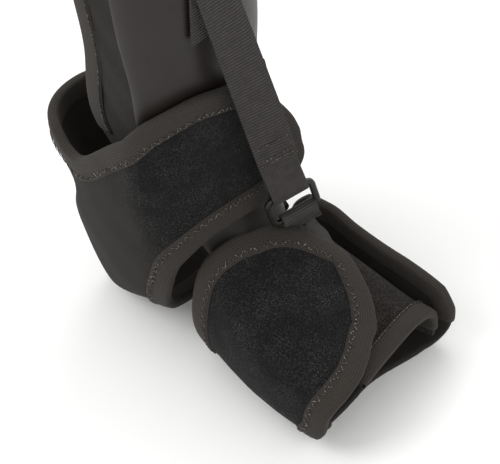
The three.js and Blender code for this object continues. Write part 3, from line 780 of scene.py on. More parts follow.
def liner_material(finish):
    """Knitted cloth laminated on foam: dark, with rows of small loops."""
    made, tree, shader = new_material(
        "knitted_lining", finish.liner, 0.9, Specular_IOR_Level=0.12, Sheen_Weight=0.03
    )
    flat = add_node(tree, "ShaderNodeUVMap", uv_map="flat")
    axes = add_node(tree, "ShaderNodeSeparateXYZ", {0: (flat, 0)})
    courses = ribs(tree, (axes, "X"), 1.6 * MM)
    wales = ribs(tree, (axes, "Y"), 1.6 * MM)
    height = add_node(
        tree, "ShaderNodeMath", {0: (courses, 0), 1: (wales, 0)}, operation="MULTIPLY"
    )
    place = add_node(tree, "ShaderNodeTexCoord")
    tone = add_node(
        tree,
        "ShaderNodeTexNoise",
        {"Vector": (place, "Object")},
        {"Scale": 1 / (2 * MM), "Detail": 4.0},
    )
    colour = add_node(
        tree,
        "ShaderNodeMix",
        {0: (tone, "Fac")},
        {6: linear(finish.pile), 7: linear(finish.liner)},
        data_type="RGBA",
    )
    tree.links.new(colour.outputs[2], shader.inputs["Base Color"])
    add_bump(tree, shader, (height, 0), 0.35, 0.4 * MM)
    return made


def fibre_material(finish):
    """Brushed fibre face of the toe panel: long brownish-black fibres lying in all directions."""
    made, tree, shader = new_material(
        "brushed_fibre", finish.fibre, 0.95, Specular_IOR_Level=0.1, Sheen_Weight=0.05
    )
    place = add_node(tree, "ShaderNodeTexCoord")
    bent = add_node(
        tree,
        "ShaderNodeTexNoise",
        {"Vector": (place, "Object")},
        {"Scale": 1 / (3.5 * MM), "Detail": 6.0, "Roughness": 0.75, "Distortion": 2.5},
    )
    fine = add_node(
        tree,
        "ShaderNodeTexNoise",
        {"Vector": (place, "Object")},
        {"Scale": 1 / MM, "Detail": 3.0, "Distortion": 1.0},
    )
    height = add_node(
        tree, "ShaderNodeMath", {0: (bent, "Fac"), 1: (fine, "Fac")}, operation="MULTIPLY"
    )
    lit = add_node(
        tree, "ShaderNodeMapRange", {"Value": (height, 0)}, {"From Min": 0.2, "From Max": 0.42}
    )
    colour = add_node(
        tree,
        "ShaderNodeMix",
        {0: (lit, 0)},
        {6: linear(finish.pile), 7: linear(finish.fibre)},
        data_type="RGBA",
    )
    tree.links.new(colour.outputs[2], shader.inputs["Base Color"])
    add_bump(tree, shader, (height, 0), 0.8, 1.2 * MM)
    return made


def ring_material(finish):
    """Moulded acetal: smooth, hard and semi-gloss black."""
    made, tree, shader = new_material(
        "moulded_acetal", finish.ring, 0.3, IOR=1.48, Specular_IOR_Level=0.4
    )
    place = add_node(tree, "ShaderNodeTexCoord")
    marks = add_node(
        tree,
        "ShaderNodeTexNoise",
        {"Vector": (place, "Object")},
        {"Scale": 1 / (6 * MM), "Detail": 4.0},
    )
    rough = add_node(
        tree,
        "ShaderNodeMapRange",
        {"Value": (marks, "Fac")},
        {"From Min": 0.3, "From Max": 0.7, "To Min": 0.24, "To Max": 0.4},
    )
    tree.links.new(rough.outputs[0], shader.inputs["Roughness"])
    add_bump(tree, shader, (marks, "Fac"), 0.08, 0.3 * MM)
    return made


def thread_material(finish):
    """Sewing thread: matt spun polyester, a little lighter than the cloth."""
    made, tree, shader = new_material("spun_thread", finish.thread, 0.75, Specular_IOR_Level=0.2)
    place = add_node(tree, "ShaderNodeTexCoord")
    twist = add_node(
        tree,
        "ShaderNodeTexNoise",
        {"Vector": (place, "Object")},
        {"Scale": 1 / (1.2 * MM), "Detail": 2.0},
    )
    # Painted highlight: stretches of thread are painted lighter, as if they catch the light, and the others
    # keep the darker colour of thread sunk into the cloth.
    lit_stretches = add_node(
        tree, "ShaderNodeMapRange", {"Value": (twist, "Fac")}, {"From Min": 0.5, "From Max": 0.68}
    )
    colour = add_node(
        tree,
        "ShaderNodeMix",
        {0: (lit_stretches, 0)},
        {6: linear(finish.thread), 7: linear(finish.thread_lit)},
        data_type="RGBA",
    )
    tree.links.new(colour.outputs[2], shader.inputs["Base Color"])
    add_bump(tree, shader, (twist, "Fac"), 0.4, 0.3 * MM)
    return made


def floor_material(stage):
    """Plain pale painted floor."""
    made, tree, shader = new_material("pale_floor", stage.floor, 0.9)
    place = add_node(tree, "ShaderNodeTexCoord")
    tone = add_node(
        tree, "ShaderNodeTexNoise", {"Vector": (place, "Object")}, {"Scale": 8.0, "Detail": 2.0}
    )
    add_bump(tree, shader, (tone, "Fac"), 0.02, 1 * MM)
    return made


FINISHES = {
    "shell": ("shell_plastic", shell_material),
    "liner": ("liner_foam", liner_material),
    "pile": ("pile_cloth", pile_material),
    "fibre": ("hook_cloth", fibre_material),
    "binding": ("binding", binding_material),
    "webbing": ("webbing", webbing_material),
    "tape": ("webbing", tape_material),
    "ring": ("ring_plastic", ring_material),
    "thread": (None, thread_material),
}
MADE = {}


def dress(piece, finish, *nodes):
    """Gives a piece its material and body, and hides the CAD nodes that it stands for."""
    slot, make = FINISHES[finish]
    if finish not in MADE:
        MADE[finish] = make(bpy.context.scene.splint_finish)
    piece.data.materials.clear()
    piece.data.materials.append(MADE[finish])
    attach(piece, "root")
    if nodes:
        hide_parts(*nodes)
    return piece


def as_object(name, bm):
    """The object of a finished bmesh, smooth shaded."""
    for face in bm.faces:
        face.smooth = True
    mesh = bpy.data.meshes.new(name)
    bm.to_mesh(mesh)
    bm.free()
    made = bpy.data.objects.new(name, mesh)
    bpy.context.scene.collection.objects.link(made)
    return made


def lengths(points, axis):
    """Distance run along one axis of a grid of points."""
    step = np.linalg.norm(np.diff(points, axis=axis), axis=-1)
    start = np.zeros_like(np.take(step, [0], axis=axis))
    return np.concatenate([start, np.cumsum(step, axis=axis)], axis=axis)


def grid_piece(name, points, flip=False, nap=None):
    """A sheet laid over a grid of points, with its own flat coordinates in metres."""
    rows, columns = points.shape[:2]
    flat = np.stack([lengths(points, 0), lengths(points, 1)], -1)
    bm = bmesh.new()
    layer = bm.loops.layers.uv.new("flat")
    bmesh.ops.create_grid(bm, x_segments=rows - 1, y_segments=columns - 1, size=1)
    napped = bm.verts.layers.float.new("nap") if nap is not None else None
    places = {}
    for vertex in bm.verts:
        i = round((vertex.co.x + 1) / 2 * (rows - 1))
        j = round((vertex.co.y + 1) / 2 * (columns - 1))
        places[vertex] = (i, j)
        vertex.co = points[i, j]
        if napped:
            vertex[napped] = nap[i, j]
    for face in bm.faces:
        for loop in face.loops:
            loop[layer].uv = flat[places[loop.vert]]
    if flip:
        bmesh.ops.reverse_faces(bm, faces=bm.faces)
    return as_object(name, bm)


def thicken(piece, wall, offset=-1, soft=0.0):
    """Gives a sheet its wall, in metres, and rounds its edges."""
    solid = piece.modifiers.new("wall", "SOLIDIFY")
    solid.thickness = wall
    solid.offset = offset
    solid.use_even_offset = True
    if soft:
        bevel = piece.modifiers.new("edge", "BEVEL")
        bevel.width = soft
        bevel.segments = 3
        bevel.limit_method = "ANGLE"
        bevel.angle_limit = math.radians(50)
    return piece


def settle(piece):
    """Makes a piece's modifiers part of its mesh."""
    graph = bpy.context.evaluated_depsgraph_get()
    mesh = bpy.data.meshes.new_from_object(piece.evaluated_get(graph))
    piece.modifiers.clear()
    piece.data = mesh
    return piece


def walk(form, u, v, way, distances):
    """Points and normals reached over a form from its places, going the given way, at rising distances."""
    small = 1e-3  # share of the form over which its slopes are measured
    here, gone, found = [u.copy(), v.copy()], 0.0, []
    for distance in distances:
        count = max(1, math.ceil((distance - gone) / (WALK_STEP * MM)))
        for _ in range(count if distance > gone else 0):
            at = form(*here)
            du = (form(here[0] + small, here[1]) - at) / small
            dv = (form(here[0], here[1] + small) - at) / small
            go = way * (distance - gone) / count
            uu, uv, vv = (du * du).sum(-1), (du * dv).sum(-1), (dv * dv).sum(-1)
            gu, gv = (go * du).sum(-1), (go * dv).sum(-1)
            det = uu * vv - uv * uv
            here = [here[0] + (gu * vv - gv * uv) / det, here[1] + (gv * uu - gu * uv) / det]
        gone = max(gone, distance)
        found.append((form(*here), normals(form, *here)))
    return found


def even_path(form, u, v, spacing):
    """Places along an edge, spaced evenly."""
    run = lengths(form(u, v)[:, None], 0)[:, 0]
    count = max(2, round(run[-1] / spacing))
    at = np.linspace(0, run[-1], count + 1)
    return np.interp(at, run, u), np.interp(at, run, v)


def smoothed(values, times):
    """Values along a line with their neighbours' jumps evened out, ends kept."""
    for _ in range(times):
        inside = (values[:-2] + 2 * values[1:-1] + values[2:]) / 4
        values = np.concatenate([values[:1], inside, values[-1:]])
    return values


def bind(name, form, u, v, wall, side, width, pitch, reach=(0.64, 0.92), node=None):
    """A folded binding over a sheet's edge, with a zigzag seam near its inner line. Sizes are in metres."""
    u, v = even_path(form, u, v, TAPE_STEP * MM)
    at = form(u, v)
    step = np.gradient(at, axis=0)
    run = unit(smoothed(step, 2))
    normal = normals(form, u, v)
    inward = unit(smoothed(np.cross(run, normal) * side, 2))
    # Inside a tight bend the tape is narrower, so that its inner line doesn't cross itself.
    closing = -(np.gradient(inward, axis=0) * run).sum(-1) / np.linalg.norm(step, axis=-1)
    narrow = smoothed(np.minimum(1, TAPE_BEND / np.maximum(closing * width, 1e-6)), 6)[:, None]
    shares, lifts = TAPE_ROWS["share"], TAPE_ROWS["lift"] * MM
    found = walk(form, u, v, inward * narrow, width * shares[::-1])[::-1]
    waved = np.sin(lengths(at[:, None], 0)[:, 0] / (GATHER_LONG * MM) * math.pi)[:, None]
    gather = waved * TAPE_GATHER * MM
    rows = list(zip(found, lifts, TAPE_ROWS["gathers"]))
    outer = [p + n * (lift + gather * gathers) for (p, n), lift, gathers in rows]
    inner = [p - n * (wall + lift) for (p, n), lift, _ in rows][::-1]
    middle = at - normal * wall / 2
    rise, out = wall / 2 + TAPE_RISE * MM, TAPE_OUT * MM
    rim = [
        middle + normal * rise * math.cos(a) - inward * out * math.sin(a) for a in np.radians(TAPE_FOLD)
    ]
    points = np.stack([*outer, *rim, *inner], 1)
    tape = thicken(grid_piece(name, points, flip=side < 0), TAPE_WALL * MM)
    dress(tape, "binding", *([node] if node else []))
    sewn = walk(form, u, v, inward * narrow, [width * share for share in reach])
    first, second = (p + n * SEAM_LIFT * MM for p, n in sewn)
    return tape, stitch(name + "_seam", first, second, pitch)


def stitch(name, first, second, pitch):
    """A zigzag of thread between two lines, one short thread from each hole to the next."""
    run = lengths(((first + second) / 2)[:, None], 0)[:, 0]
    count = int(run[-1] / (pitch / 2))
    at = np.linspace(0, run[-1], count + 1)
    a = np.stack([np.interp(at, run, first[:, k]) for k in range(3)], 1)
    b = np.stack([np.interp(at, run, second[:, k]) for k in range(3)], 1)
    holes = np.where((np.arange(count + 1) % 2 == 0)[:, None], a, b)
    return threads(name, holes[:-1], holes[1:])


def stitch_row(first, last):
    """Starts and ends of a straight row of stitches between two points."""
    at = np.linspace(0, 1, ROW_STITCHES + 1)[:, None]
    holes = first + (last - first) * at
    gap = (holes[1] - holes[0]) * ROW_GAP
    return holes[:-1] + gap, holes[1:] - gap


def threads(name, starts, ends):
    """Short threads from starts to ends, each a slim rounded bead that reaches into its holes."""
    radius, reach = THREAD_RADIUS * MM, 0.53
    one = bmesh.new()
    bmesh.ops.create_uvsphere(one, u_segments=6, v_segments=5, radius=1)
    bead = bpy.data.meshes.new("bead")
    one.to_mesh(bead)
    one.free()
    bm = bmesh.new()
    for start, end in zip(starts, ends):
        have = len(bm.verts)
        bm.from_mesh(bead)
        bm.verts.ensure_lookup_table()
        way = Vector(end - start)
        turn = way.to_track_quat("Z", "Y").to_matrix().to_4x4()
        size = Matrix.Diagonal((radius, radius, way.length * reach, 1))
        place = Matrix.Translation(Vector((start + end) / 2)) @ turn @ size
        for vertex in bm.verts[have:]:
            vertex.co = place @ vertex.co
    bpy.data.meshes.remove(bead)
    return dress(as_object(name, bm), "thread")


def webbing(name, finish, at, wide, width, *nodes):
    """A flat strap of woven webbing along stations, with soft edges. Sizes are in metres."""
    across = np.linspace(-0.5, 0.5, 9)
    points = at[:, None] + wide[:, None] * (across[None, :, None] * width)
    piece = thicken(grid_piece(name, points), WEBBING_WALL * MM, 0, WEBBING_SOFT * MM)
    return dress(piece, finish, *nodes), points


def smooth_line(points, spacing):
    """A line through points with rounded turns, spaced evenly, for straps."""
    points = np.asarray(points, float)
    ends = np.vstack([2 * points[0] - points[1], points, 2 * points[-1] - points[-2]])
    p0, p1, p2, p3 = ends[:-3], ends[1:-2], ends[2:-1], ends[3:]
    t = np.linspace(0, 1, 24, endpoint=False)[:, None, None]
    # A Catmull-Rom curve: it passes through each point, with the slope of its neighbours' chord.
    square, cube = 2 * p0 - 5 * p1 + 4 * p2 - p3, 3 * p1 - p0 - 3 * p2 + p3
    curve = 0.5 * (2 * p1 + (p2 - p0) * t + square * t**2 + cube * t**3)
    fine = np.vstack([np.moveaxis(curve, 0, 1).reshape(-1, points.shape[1]), points[-1:]])
    run = lengths(fine[:, None, :3], 0)[:, 0]
    at = np.linspace(0, run[-1], max(2, round(run[-1] / spacing)) + 1)
    return np.stack([np.interp(at, run, fine[:, k]) for k in range(points.shape[1])], 1)


def square_to(wide, run):
    """Directions across a strap, square to its run."""
    return unit(wide - run * (wide * run).sum(-1, keepdims=True))


def strap_seat(along):
    """Where the pull strap's return lies on the shell, in the shin's frame in millimetres."""
    at, out = shell_line(np.asarray(along, float))
    seat = at + out * (FIT + WEBBING_WALL / 2)
    return seat + stacked(0, STRAP_SIDE, 0)


STRAP_FROM = strap_seat(STRAP_TOP) + shell_line(np.asarray(STRAP_TOP))[1] * 2 * STRAP_FOLD
PULL_UP = unit(STRAP_FROM - RING_AT)
PULL_WIDE = square_to(RING_WAY, PULL_UP)
PULL_FACE = np.cross(PULL_WIDE, PULL_UP)
BAR_UP = (RING_TALL - RING_BAR) / 2
BEND = math.hypot(RING_DEEP, RING_BAR) / 2 + FIT + WEBBING_WALL / 2
CLOSE = WEBBING_WALL / 2 + FIT / 2


def on_pull(wide, up, face):
    """A point in the ring's own frame, in the shin's frame in millimetres."""
    return RING_AT + PULL_WIDE * wide + PULL_UP * up + PULL_FACE * face


class SplintSizes(bpy.types.PropertyGroup):
    """Sizes of the trim that a user would change."""

    tape_width: bpy.props.FloatProperty(
        name="Binding width", description="Width of each face of the bindings", default=0.013, unit="LENGTH"
    )
    strap_width: bpy.props.FloatProperty(
        name="Strap width", description="Width of the pull strap's webbing", default=0.025, unit="LENGTH"
    )
    stitch_pitch: bpy.props.FloatProperty(
        name="Stitch pitch", description="Length of one zigzag of the seams", default=0.0056, unit="LENGTH"
    )
    unevenness: bpy.props.FloatProperty(
        name="Unevenness", description="Height of the cloth's soft waves", default=0.0007, unit="LENGTH"
    )


def hex_colour(name, description, default):
    """A colour kept as an sRGB hex value."""
    return bpy.props.StringProperty(name=name, description=description, default=default, maxlen=7)


class SplintFinish(bpy.types.PropertyGroup):
    """Colours of the splint's materials, as sRGB hex values."""

    pile: hex_colour("Pile", "Base of the brushed loop pile", "#0e0e0e")
    tips: hex_colour("Fibre tips", "Lightest fibre tips of the pile", "#3d3d3c")
    neoprene: hex_colour("Neoprene", "Smooth cloth where the pile ends", "#282523")
    binding: hex_colour("Binding", "Folded binding", "#37332f")
    # Painted shade: the binding's darker colour is painted in the grooves between its ribs.
    binding_painted_shade: hex_colour("Binding shade", "Between the binding's ribs", "#24211f")
    webbing: hex_colour("Webbing", "Webbing's raised threads", "#413d3b")
    # Painted shade: the webbing's darker colour is painted between its threads.
    webbing_painted_shade: hex_colour("Webbing shade", "Between the webbing's threads", "#242120")
    shell: hex_colour("Shell", "Moulded shell", "#1e1917")
    liner: hex_colour("Liner", "Knitted lining", "#2c2826")
    fibre: hex_colour("Fibre", "Brushed toe panel", "#3f3834")
    ring: hex_colour("Ring", "Moulded ring", "#191817")
    # Painted highlight: the lit thread colour is painted where the thread would catch the light.
    thread: hex_colour("Thread", "Sewing thread, sunk in the cloth", "#35322f")
    thread_lit: hex_colour("Lit thread", "Sewing thread where it catches the light", "#7d7973")


class SplintStage(bpy.types.PropertyGroup):
    """Light and floor around the splint."""

    floor: hex_colour("Floor", "Plain floor", "#f4f4f3")
    sky: bpy.props.FloatProperty(
        name="Sky", description="Strength of the light from all round", default=0.95, min=0
    )
    key: bpy.props.FloatProperty(
        name="Key light", description="Power of the large soft light", default=14, unit="POWER", min=0
    )


class SPLINT_OT_shell(bpy.types.Operator):
    """Moulds the rigid shell over the shin and instep"""

    bl_idname = "splint.shell"
    bl_label = "Shell"

    def execute(self, context):
        along = np.linspace(0, 1, 97)[:, None]
        across = np.linspace(-SHELL_ACROSS, SHELL_ACROSS, 57)[None, :]
        past = np.clip((np.abs(across) - SHELL_CORNER_FROM) / (1 - SHELL_CORNER_FROM), 0, 1)
        corner = SHELL_CORNER * past**3
        rows = corner + (1 - (1 + SHELL_CORNER_LOW) * corner) * along
        shell = grid_piece("shin_shell", trough(rows, across))
        thicken(shell, SHELL_WALL * MM, -1, SHELL_SOFT * MM)
        dress(shell, "shell", "dorsal_shell")
        return {"FINISHED"}


class SPLINT_OT_liner(bpy.types.Operator):
    """Lays the padded liner behind the shell, with its binding"""

    bl_idname = "splint.liner"
    bl_label = "Liner"

    def execute(self, context):
        sizes = context.scene.splint_sizes

        def start(across):
            past = np.clip((np.abs(across) - LINER_ROUND_FROM) / LINER_ROUND_WIDE, 0, 1)
            return LINER_TOP + LINER_ROUND * (1 - np.cos(np.arcsin(past)))

        across = np.linspace(-LINER_ACROSS, LINER_ACROSS, 97)[None, :]
        share = np.linspace(0, 1, 97)[:, None]
        rows = start(across) + (LINER_END - start(across)) * share
        points = softened(liner_form, sizes.unevenness, 0.04)(rows, across)
        liner = thicken(grid_piece("shell_lining", points), LINER_WALL * MM, -1, LINER_SOFT * MM)
        dress(liner, "liner", "shell_liner")
        side = np.linspace(LINER_TAPE_LOW, LINER_TAPE_TOP, 40)
        side = np.maximum(side, start(LINER_ACROSS))
        over = np.linspace(-LINER_ACROSS, LINER_ACROSS, 120)
        u = np.concatenate([side, start(over), side[::-1]])
        v = np.concatenate([0 * side - LINER_ACROSS, over, 0 * side + LINER_ACROSS])
        bind(
            "lining_binding", liner_form, u, v, LINER_WALL * MM, 1, sizes.tape_width,
            sizes.stitch_pitch, reach=(0.9, 0.9), node="liner_tape",
        )
        return {"FINISHED"}


class SPLINT_OT_ankle_wrap(bpy.types.Operator):
    """Wraps the ankle cloth round the leg, opens its heel and binds its edges"""

    bl_idname = "splint.ankle_wrap"
    bl_label = "Ankle wrap"

    def execute(self, context):
        sizes = context.scene.splint_sizes
        form = softened(ankle_form, sizes.unevenness, 0.05)
        strips = np.linspace(0, 1, 181)[None, :]
        share = np.linspace(0, 1, 45)[:, None]
        top, low = column(WRAP_OUTLINE, "top", strips), column(WRAP_OUTLINE, "low", strips)
        rows = top + (low - top) * share
        points = form(rows, strips)
        nap = np.clip((strips - NAP_FROM - NAP_SLANT * rows) / NAP_FADE, 0, 1)
        cloth = thicken(grid_piece("ankle_cloth", points, nap=nap), CLOTH_WALL * MM)
        heel = bmesh.new()
        bmesh.ops.create_uvsphere(heel, u_segments=64, v_segments=40, radius=1)
        middle = Vector(from_leg(np.array(HEEL_MIDDLE, float)))
        place = Matrix.Translation(middle) @ Matrix.Rotation(LEG_TURN, 4, "Z")
        size = Matrix.Diagonal((*(half * MM for half in HEEL_SIZE), 1))
        bmesh.ops.transform(heel, matrix=place @ size, verts=heel.verts)
        cutter = as_object("heel_cutter", heel)
        cut = cloth.modifiers.new("heel", "BOOLEAN")
        cut.operation, cut.solver, cut.object = "DIFFERENCE", "EXACT", cutter
        settle(cloth)
        bpy.data.objects.remove(cutter)
        for polygon in cloth.data.polygons:
            polygon.use_smooth = True
        dress(cloth, "pile", "ankle_wrap")
        line = np.linspace(0, 1, 240)
        top, low = column(WRAP_OUTLINE, "top", line), column(WRAP_OUTLINE, "low", line)
        tip = np.linspace(0, 1, 22)[1:-1]
        u = np.concatenate([top, top[-1] + (low[-1] - top[-1]) * tip, low[::-1]])
        v = np.concatenate([line, np.ones_like(tip), line[::-1]])
        tape, seam = bind(
            "ankle_binding", form, u, v, CLOTH_WALL * MM, 1, sizes.tape_width,
            sizes.stitch_pitch, node="ankle_wrap_tape",
        )
        return {"FINISHED"}


class SPLINT_OT_foot_wrap(bpy.types.Operator):
    """Wraps the foot cloth from its half-round flap to its outer wall and binds its edges"""

    bl_idname = "splint.foot_wrap"
    bl_label = "Foot wrap"

    def execute(self, context):
        sizes = context.scene.splint_sizes
        form = softened(foot_form, sizes.unevenness, 0.05)
        tip_to, flat_from, flat_over = 70, 200, 60
        turns = np.concatenate(
            [
                np.linspace(FLAP_TIP, tip_to, 14)[:-1],
                np.linspace(tip_to, SOLE_FROM, 102)[:-1],
                np.linspace(SOLE_FROM, SOLE_TO, 9)[:-1],
                np.linspace(SOLE_TO, WALL_TO, 40),
            ]
        )[:, None]
        share = np.linspace(0, 1, 57)[None, :]
        rear, front = column(FOOT_OUTLINE, "rear", turns), column(FOOT_OUTLINE, "front", turns)
        rows = rear + (front - rear) * share
        # Towards the sole the cloth lies flat, without its unevenness.
        fade = np.clip((turns - flat_from) / flat_over, 0, 1)[..., None]
        points = form(turns, rows) * (1 - fade) + foot_form(turns, rows) * fade
        nap = np.where(turns < PILE_TO, 1.0, 0.0) + 0 * rows
        cloth = thicken(grid_piece("foot_cloth", points, nap=nap), CLOTH_WALL * MM)
        dress(cloth, "pile", "foot_wrap")
        line = np.concatenate(
            [np.linspace(FLAP_TAPE_FROM, tip_to + 1, 100), np.linspace(tip_to, FLAP_TIP, 24)]
        )
        rear, front = column(FOOT_OUTLINE, "rear", line), column(FOOT_OUTLINE, "front", line)
        tip = np.linspace(0, 1, 12)[1:-1]
        u = np.concatenate([line, 0 * tip + FLAP_TIP, line[::-1]])
        v = np.concatenate([front, front[-1] + (rear[-1] - front[-1]) * tip, rear[::-1]])
        tape, seam = bind(
            "flap_binding", form, u, v, CLOTH_WALL * MM, -1, sizes.tape_width,
            sizes.stitch_pitch, node="foot_flap_tape",
        )
        up = np.linspace(WALL_TAPE_FROM, WALL_TO, 20)
        rear, front = column(FOOT_OUTLINE, "rear", up), column(FOOT_OUTLINE, "front", up)
        over = np.linspace(0, 1, 60)[1:-1]
        u = np.concatenate([up, 0 * over + WALL_TO, up[::-1]])
        v = np.concatenate([rear, rear[-1] + (front[-1] - rear[-1]) * over, front[::-1]])
        wall_tape, wall_seam = bind(
            "wall_binding", foot_form, u, v, CLOTH_WALL * MM, -1, sizes.tape_width * WALL_TAPE_SHARE,
            sizes.stitch_pitch, node="foot_wall_tape",
        )
        return {"FINISHED"}


class SPLINT_OT_toe_panel(bpy.types.Operator):
    """Lays the toe panel on the instep, under the flap"""

    bl_idname = "splint.toe_panel"
    bl_label = "Toe panel"

    def execute(self, context):
        sizes = context.scene.splint_sizes
        form = softened(panel_form, sizes.unevenness * PANEL_SOFT, 0.04)
        along = np.linspace(0, 1, 45)[:, None]
        across = np.linspace(0, 1, 81)[None, :]
        points = form(along, across)
        panel = thicken(grid_piece("toe_pad", points), PANEL_WALL * MM, -1, PANEL_EDGE_SOFT * MM)
        dress(panel, "fibre", "toe_panel")
        v = np.linspace(0, PANEL_TAPE_TO, 110)
        tape, seam = bind(
            "toe_binding", form, np.ones_like(v), v, PANEL_WALL * MM, -1,
            sizes.tape_width * PANEL_TAPE_SHARE, sizes.stitch_pitch, reach=(0.9, 0.9),
            node="toe_panel_tape",
        )
        return {"FINISHED"}


class SPLINT_OT_ring(bpy.types.Operator):
    """Moulds the ring that joins the straps"""

    bl_idname = "splint.ring"
    bl_label = "Ring"

    def execute(self, context):
        def outline(wide, tall, corner):
            w, t = wide / 2 - corner, tall / 2 - corner
            arcs = [(w, -t, -90), (w, t, 0), (-w, t, 90), (-w, -t, 180)]
            turns = np.linspace(0, 90, 9)
            return [
                (x + corner * math.cos(math.radians(a + b)), y + corner * math.sin(math.radians(a + b)))
                for x, y, a in arcs
                for b in turns
            ]

        bm = bmesh.new()
        loops = []
        for points in (
            outline(RING_WIDE, RING_TALL, RING_CORNER),
            outline(RING_WIDE - 2 * RING_SIDE, RING_TALL - 2 * RING_BAR, RING_CORNER / 2),
        ):
            verts = [bm.verts.new((x, y, -RING_DEEP / 2)) for x, y in points]
            loops += [bm.edges.new((a, b)) for a, b in zip(verts, verts[1:] + verts[:1])]
        bmesh.ops.bridge_loops(bm, edges=loops)
        bmesh.ops.recalc_face_normals(bm, faces=bm.faces)
        made = bmesh.ops.extrude_face_region(bm, geom=bm.faces[:])
        top = [e for e in made["geom"] if isinstance(e, bmesh.types.BMVert)]
        bmesh.ops.translate(bm, verts=top, vec=(0, 0, RING_DEEP))
        bmesh.ops.recalc_face_normals(bm, faces=bm.faces)
        sharp = [e for e in bm.edges if len(e.link_faces) == 2 and e.calc_face_angle() > math.radians(60)]
        bmesh.ops.bevel(
            bm, geom=sharp, offset=RING_SOFT, segments=3, profile=0.5, affect="EDGES", material=-1
        )
        basis = np.stack([PULL_WIDE, PULL_UP, PULL_FACE])
        for vertex in bm.verts:
            vertex.co = from_leg(RING_AT + np.array(vertex.co) @ basis)
        dress(as_object("ring", bm), "ring", "strap_ring")
        return {"FINISHED"}


class SPLINT_OT_straps(bpy.types.Operator):
    """Threads the webbing loop, pull strap and tab through the ring"""

    bl_idname = "splint.straps"
    bl_label = "Straps"

    def execute(self, context):
        sizes = context.scene.splint_sizes
        half_turn = np.radians(np.linspace(180, 0, 13))

        def round_bar(way, shift=0.0):
            return [
                on_pull(shift, way * (BEND * math.sin(a) - BAR_UP), BEND * math.cos(a)) for a in half_turn
            ]

        def across_leg(count):
            return turned(np.tile(PULL_WIDE, (count, 1)))

        places = [(LOOP_LONG, CLOSE), (LOOP_JOIN, CLOSE), (BAR_UP + LOOP_OPEN, BEND)]
        path = [on_pull(0, up, -face) for up, face in places] + round_bar(-1)
        path += [on_pull(0, up, face) for up, face in reversed(places)]
        at = smooth_line(np.array(path), 1.2)
        loop, points = webbing(
            "ring_loop", "tape", from_leg(at), across_leg(len(at)), LOOP_WIDTH * MM, "strap_loop"
        )

        back = strap_seat(np.linspace(STRAP_TOP + STRAP_RETURN, STRAP_TOP, 24))
        out = shell_line(np.asarray(STRAP_TOP))[1]
        up = np.cross(out, [0, 1, 0])
        middle = strap_seat(STRAP_TOP) + out * STRAP_FOLD
        fold = [
            middle + (out * math.cos(a) + up * math.sin(a)) * STRAP_FOLD
            for a in np.radians(np.linspace(165, 0, 12))
        ]
        end = on_pull(0, STRAP_END, 2 * CLOSE + WEBBING_WALL / 2 + 2 * FIT)
        start = strap_seat(STRAP_TOP) + out * 2 * STRAP_FOLD
        shares = np.linspace(0.01, 1, 120)
        straight = start + (end - start) * shares[:, None]
        run = unit(start - end)
        wide = square_to(
            np.array([0, 1, 0]) * (1 - shares[:, None]) + PULL_WIDE * shares[:, None], run
        )
        at = np.vstack([back, fold, straight])
        wide = np.vstack([np.tile([0.0, 1, 0], (len(back) + len(fold), 1)), wide])
        strap, points = webbing(
            "pull_webbing", "webbing", from_leg(at), turned(wide), sizes.strap_width, "pull_strap"
        )
        face = turned(PULL_FACE) * (WEBBING_WALL / 2 + THREAD_LIFT) * MM
        side = turned(PULL_WIDE) * ROW_REACH * sizes.strap_width
        centres = [points[-1, 4] + turned(PULL_UP) * up_strap * MM + face for up_strap in STRAP_SEAMS]
        starts, ends = zip(*(stitch_row(centre - side, centre + side) for centre in centres))
        seam = threads("strap_seam", np.vstack(starts), np.vstack(ends))

        def layer(down, face):
            return on_pull(TAB_SHIFT, -BAR_UP - down, face)

        path = [layer(2.8, CLOSE + 0.5), layer(1.6, BEND)] + round_bar(1, TAB_SHIFT)[::-1]
        path += [layer(3, -BEND), layer(5, -CLOSE)]
        at = from_leg(np.array(path))
        wide = across_leg(len(at))
        normal = normals(panel_form, TAB_ALONG, TAB_ACROSS)
        seat = panel_form(TAB_ALONG, TAB_ACROSS) + normal * (WEBBING_WALL / 2 + FIT) * MM
        middle = (at[-1:] + seat[:1]) / 2 + turned(PULL_FACE) * TAB_RISE * MM
        seat_wide = square_to(np.tile(TAB_WAY, (len(seat), 1)), normal)
        at = np.vstack([at, middle, seat])
        wide = np.vstack([wide, (wide[-1:] + seat_wide[:1]) / 2, seat_wide])
        line = smooth_line(np.hstack([at, wide]), 0.0012)
        run = unit(np.gradient(line[:, :3], axis=0))
        tab, points = webbing(
            "ring_tab_webbing", "tape", line[:, :3], square_to(line[:, 3:], run), TAB_WIDTH * MM, "ring_tab"
        )
        sewn = points[np.linalg.norm(points[:, 4] - seat[0], axis=-1).argmin()]
        lift = normal[0] * (WEBBING_WALL / 2 + THREAD_LIFT) * MM
        tab_seam = threads("tab_seam", *stitch_row(sewn[0] + lift, sewn[-1] + lift))
        return {"FINISHED"}


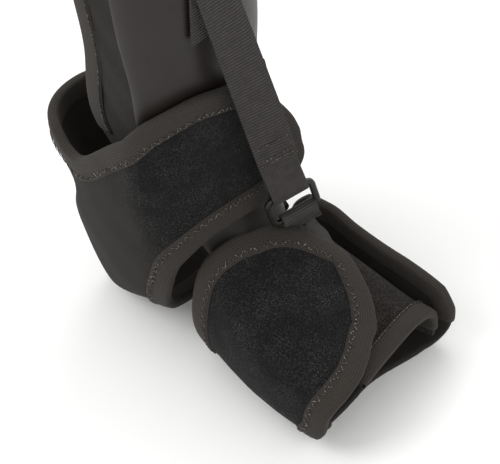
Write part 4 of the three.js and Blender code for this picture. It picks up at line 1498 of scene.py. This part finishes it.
class SPLINT_OT_stage(bpy.types.Operator):
    """Sets the floor, the light and the camera"""

    bl_idname = "splint.stage"
    bl_label = "Stage"

    def execute(self, context):
        stage = context.scene.splint_stage
        bm = bmesh.new()
        bmesh.ops.create_grid(bm, x_segments=2, y_segments=2, size=FLOOR_HALF)
        bmesh.ops.translate(bm, verts=bm.verts, vec=(0, 0, -FLOOR_GAP))
        floor = as_object("floor", bm)
        floor.data.materials.append(floor_material(stage))
        world = bpy.data.worlds.new("studio")
        world.use_nodes = True
        background = world.node_tree.nodes["Background"]
        background.inputs["Color"].default_value = (1, 1, 1, 1)
        background.inputs["Strength"].default_value = stage.sky
        context.scene.world = world
        for name, at, size, share in LAMPS:
            light = bpy.data.lights.new(name, "AREA")
            light.energy = stage.key * share
            light.size = size
            lamp = bpy.data.objects.new(name, light)
            lamp.location = at
            facing = Vector(LIT_POINT) - Vector(at)
            lamp.rotation_euler = facing.to_track_quat("-Z", "Y").to_euler()
            context.scene.collection.objects.link(lamp)
        camera = bpy.data.objects.new("camera", bpy.data.cameras.new("camera"))
        camera.data.lens = CAMERA_LENS
        camera.data.clip_end = 20
        camera.location = in_row(CAMERA_AT)
        camera.rotation_euler = [math.radians(a) for a in CAMERA_TURN]
        context.scene.collection.objects.link(camera)
        context.scene.camera = camera
        context.scene.view_settings.view_transform = "Standard"
        return {"FINISHED"}


BUILDERS = (
    SPLINT_OT_shell,
    SPLINT_OT_liner,
    SPLINT_OT_ankle_wrap,
    SPLINT_OT_toe_panel,
    SPLINT_OT_foot_wrap,
    SPLINT_OT_ring,
    SPLINT_OT_straps,
    SPLINT_OT_stage,
)


class SPLINT_PT_panel(bpy.types.Panel):
    """Sizes, finishes and builders of the night splint"""

    bl_idname = "SPLINT_PT_panel"
    bl_label = "Night splint"
    bl_space_type = "VIEW_3D"
    bl_region_type = "UI"
    bl_category = "Night splint"

    def draw(self, context):
        for group in (context.scene.splint_sizes, context.scene.splint_finish, context.scene.splint_stage):
            box = self.layout.box()
            for name in group.__annotations__:
                box.prop(group, name)
        for builder in BUILDERS:
            self.layout.operator(builder.bl_idname)


GROUPS = (
    ("splint_sizes", SplintSizes),
    ("splint_finish", SplintFinish),
    ("splint_stage", SplintStage),
)


def register():
    """Makes the add-on's classes and settings known to Blender."""
    for name, group in GROUPS:
        bpy.utils.register_class(group)
        setattr(bpy.types.Scene, name, bpy.props.PointerProperty(type=group))
    for made in (*BUILDERS, SPLINT_PT_panel):
        bpy.utils.register_class(made)


def unregister():
    """Takes the add-on's classes and settings away again."""
    for made in reversed((*BUILDERS, SPLINT_PT_panel)):
        bpy.utils.unregister_class(made)
    for name, group in reversed(GROUPS):
        delattr(bpy.types.Scene, name)
        bpy.utils.unregister_class(group)


def main():
    """Builds every piece in order."""
    register()
    for builder in BUILDERS:
        group, name = builder.bl_idname.split(".")
        getattr(getattr(bpy.ops, group), name)()


if __name__ == "__main__":
    main()
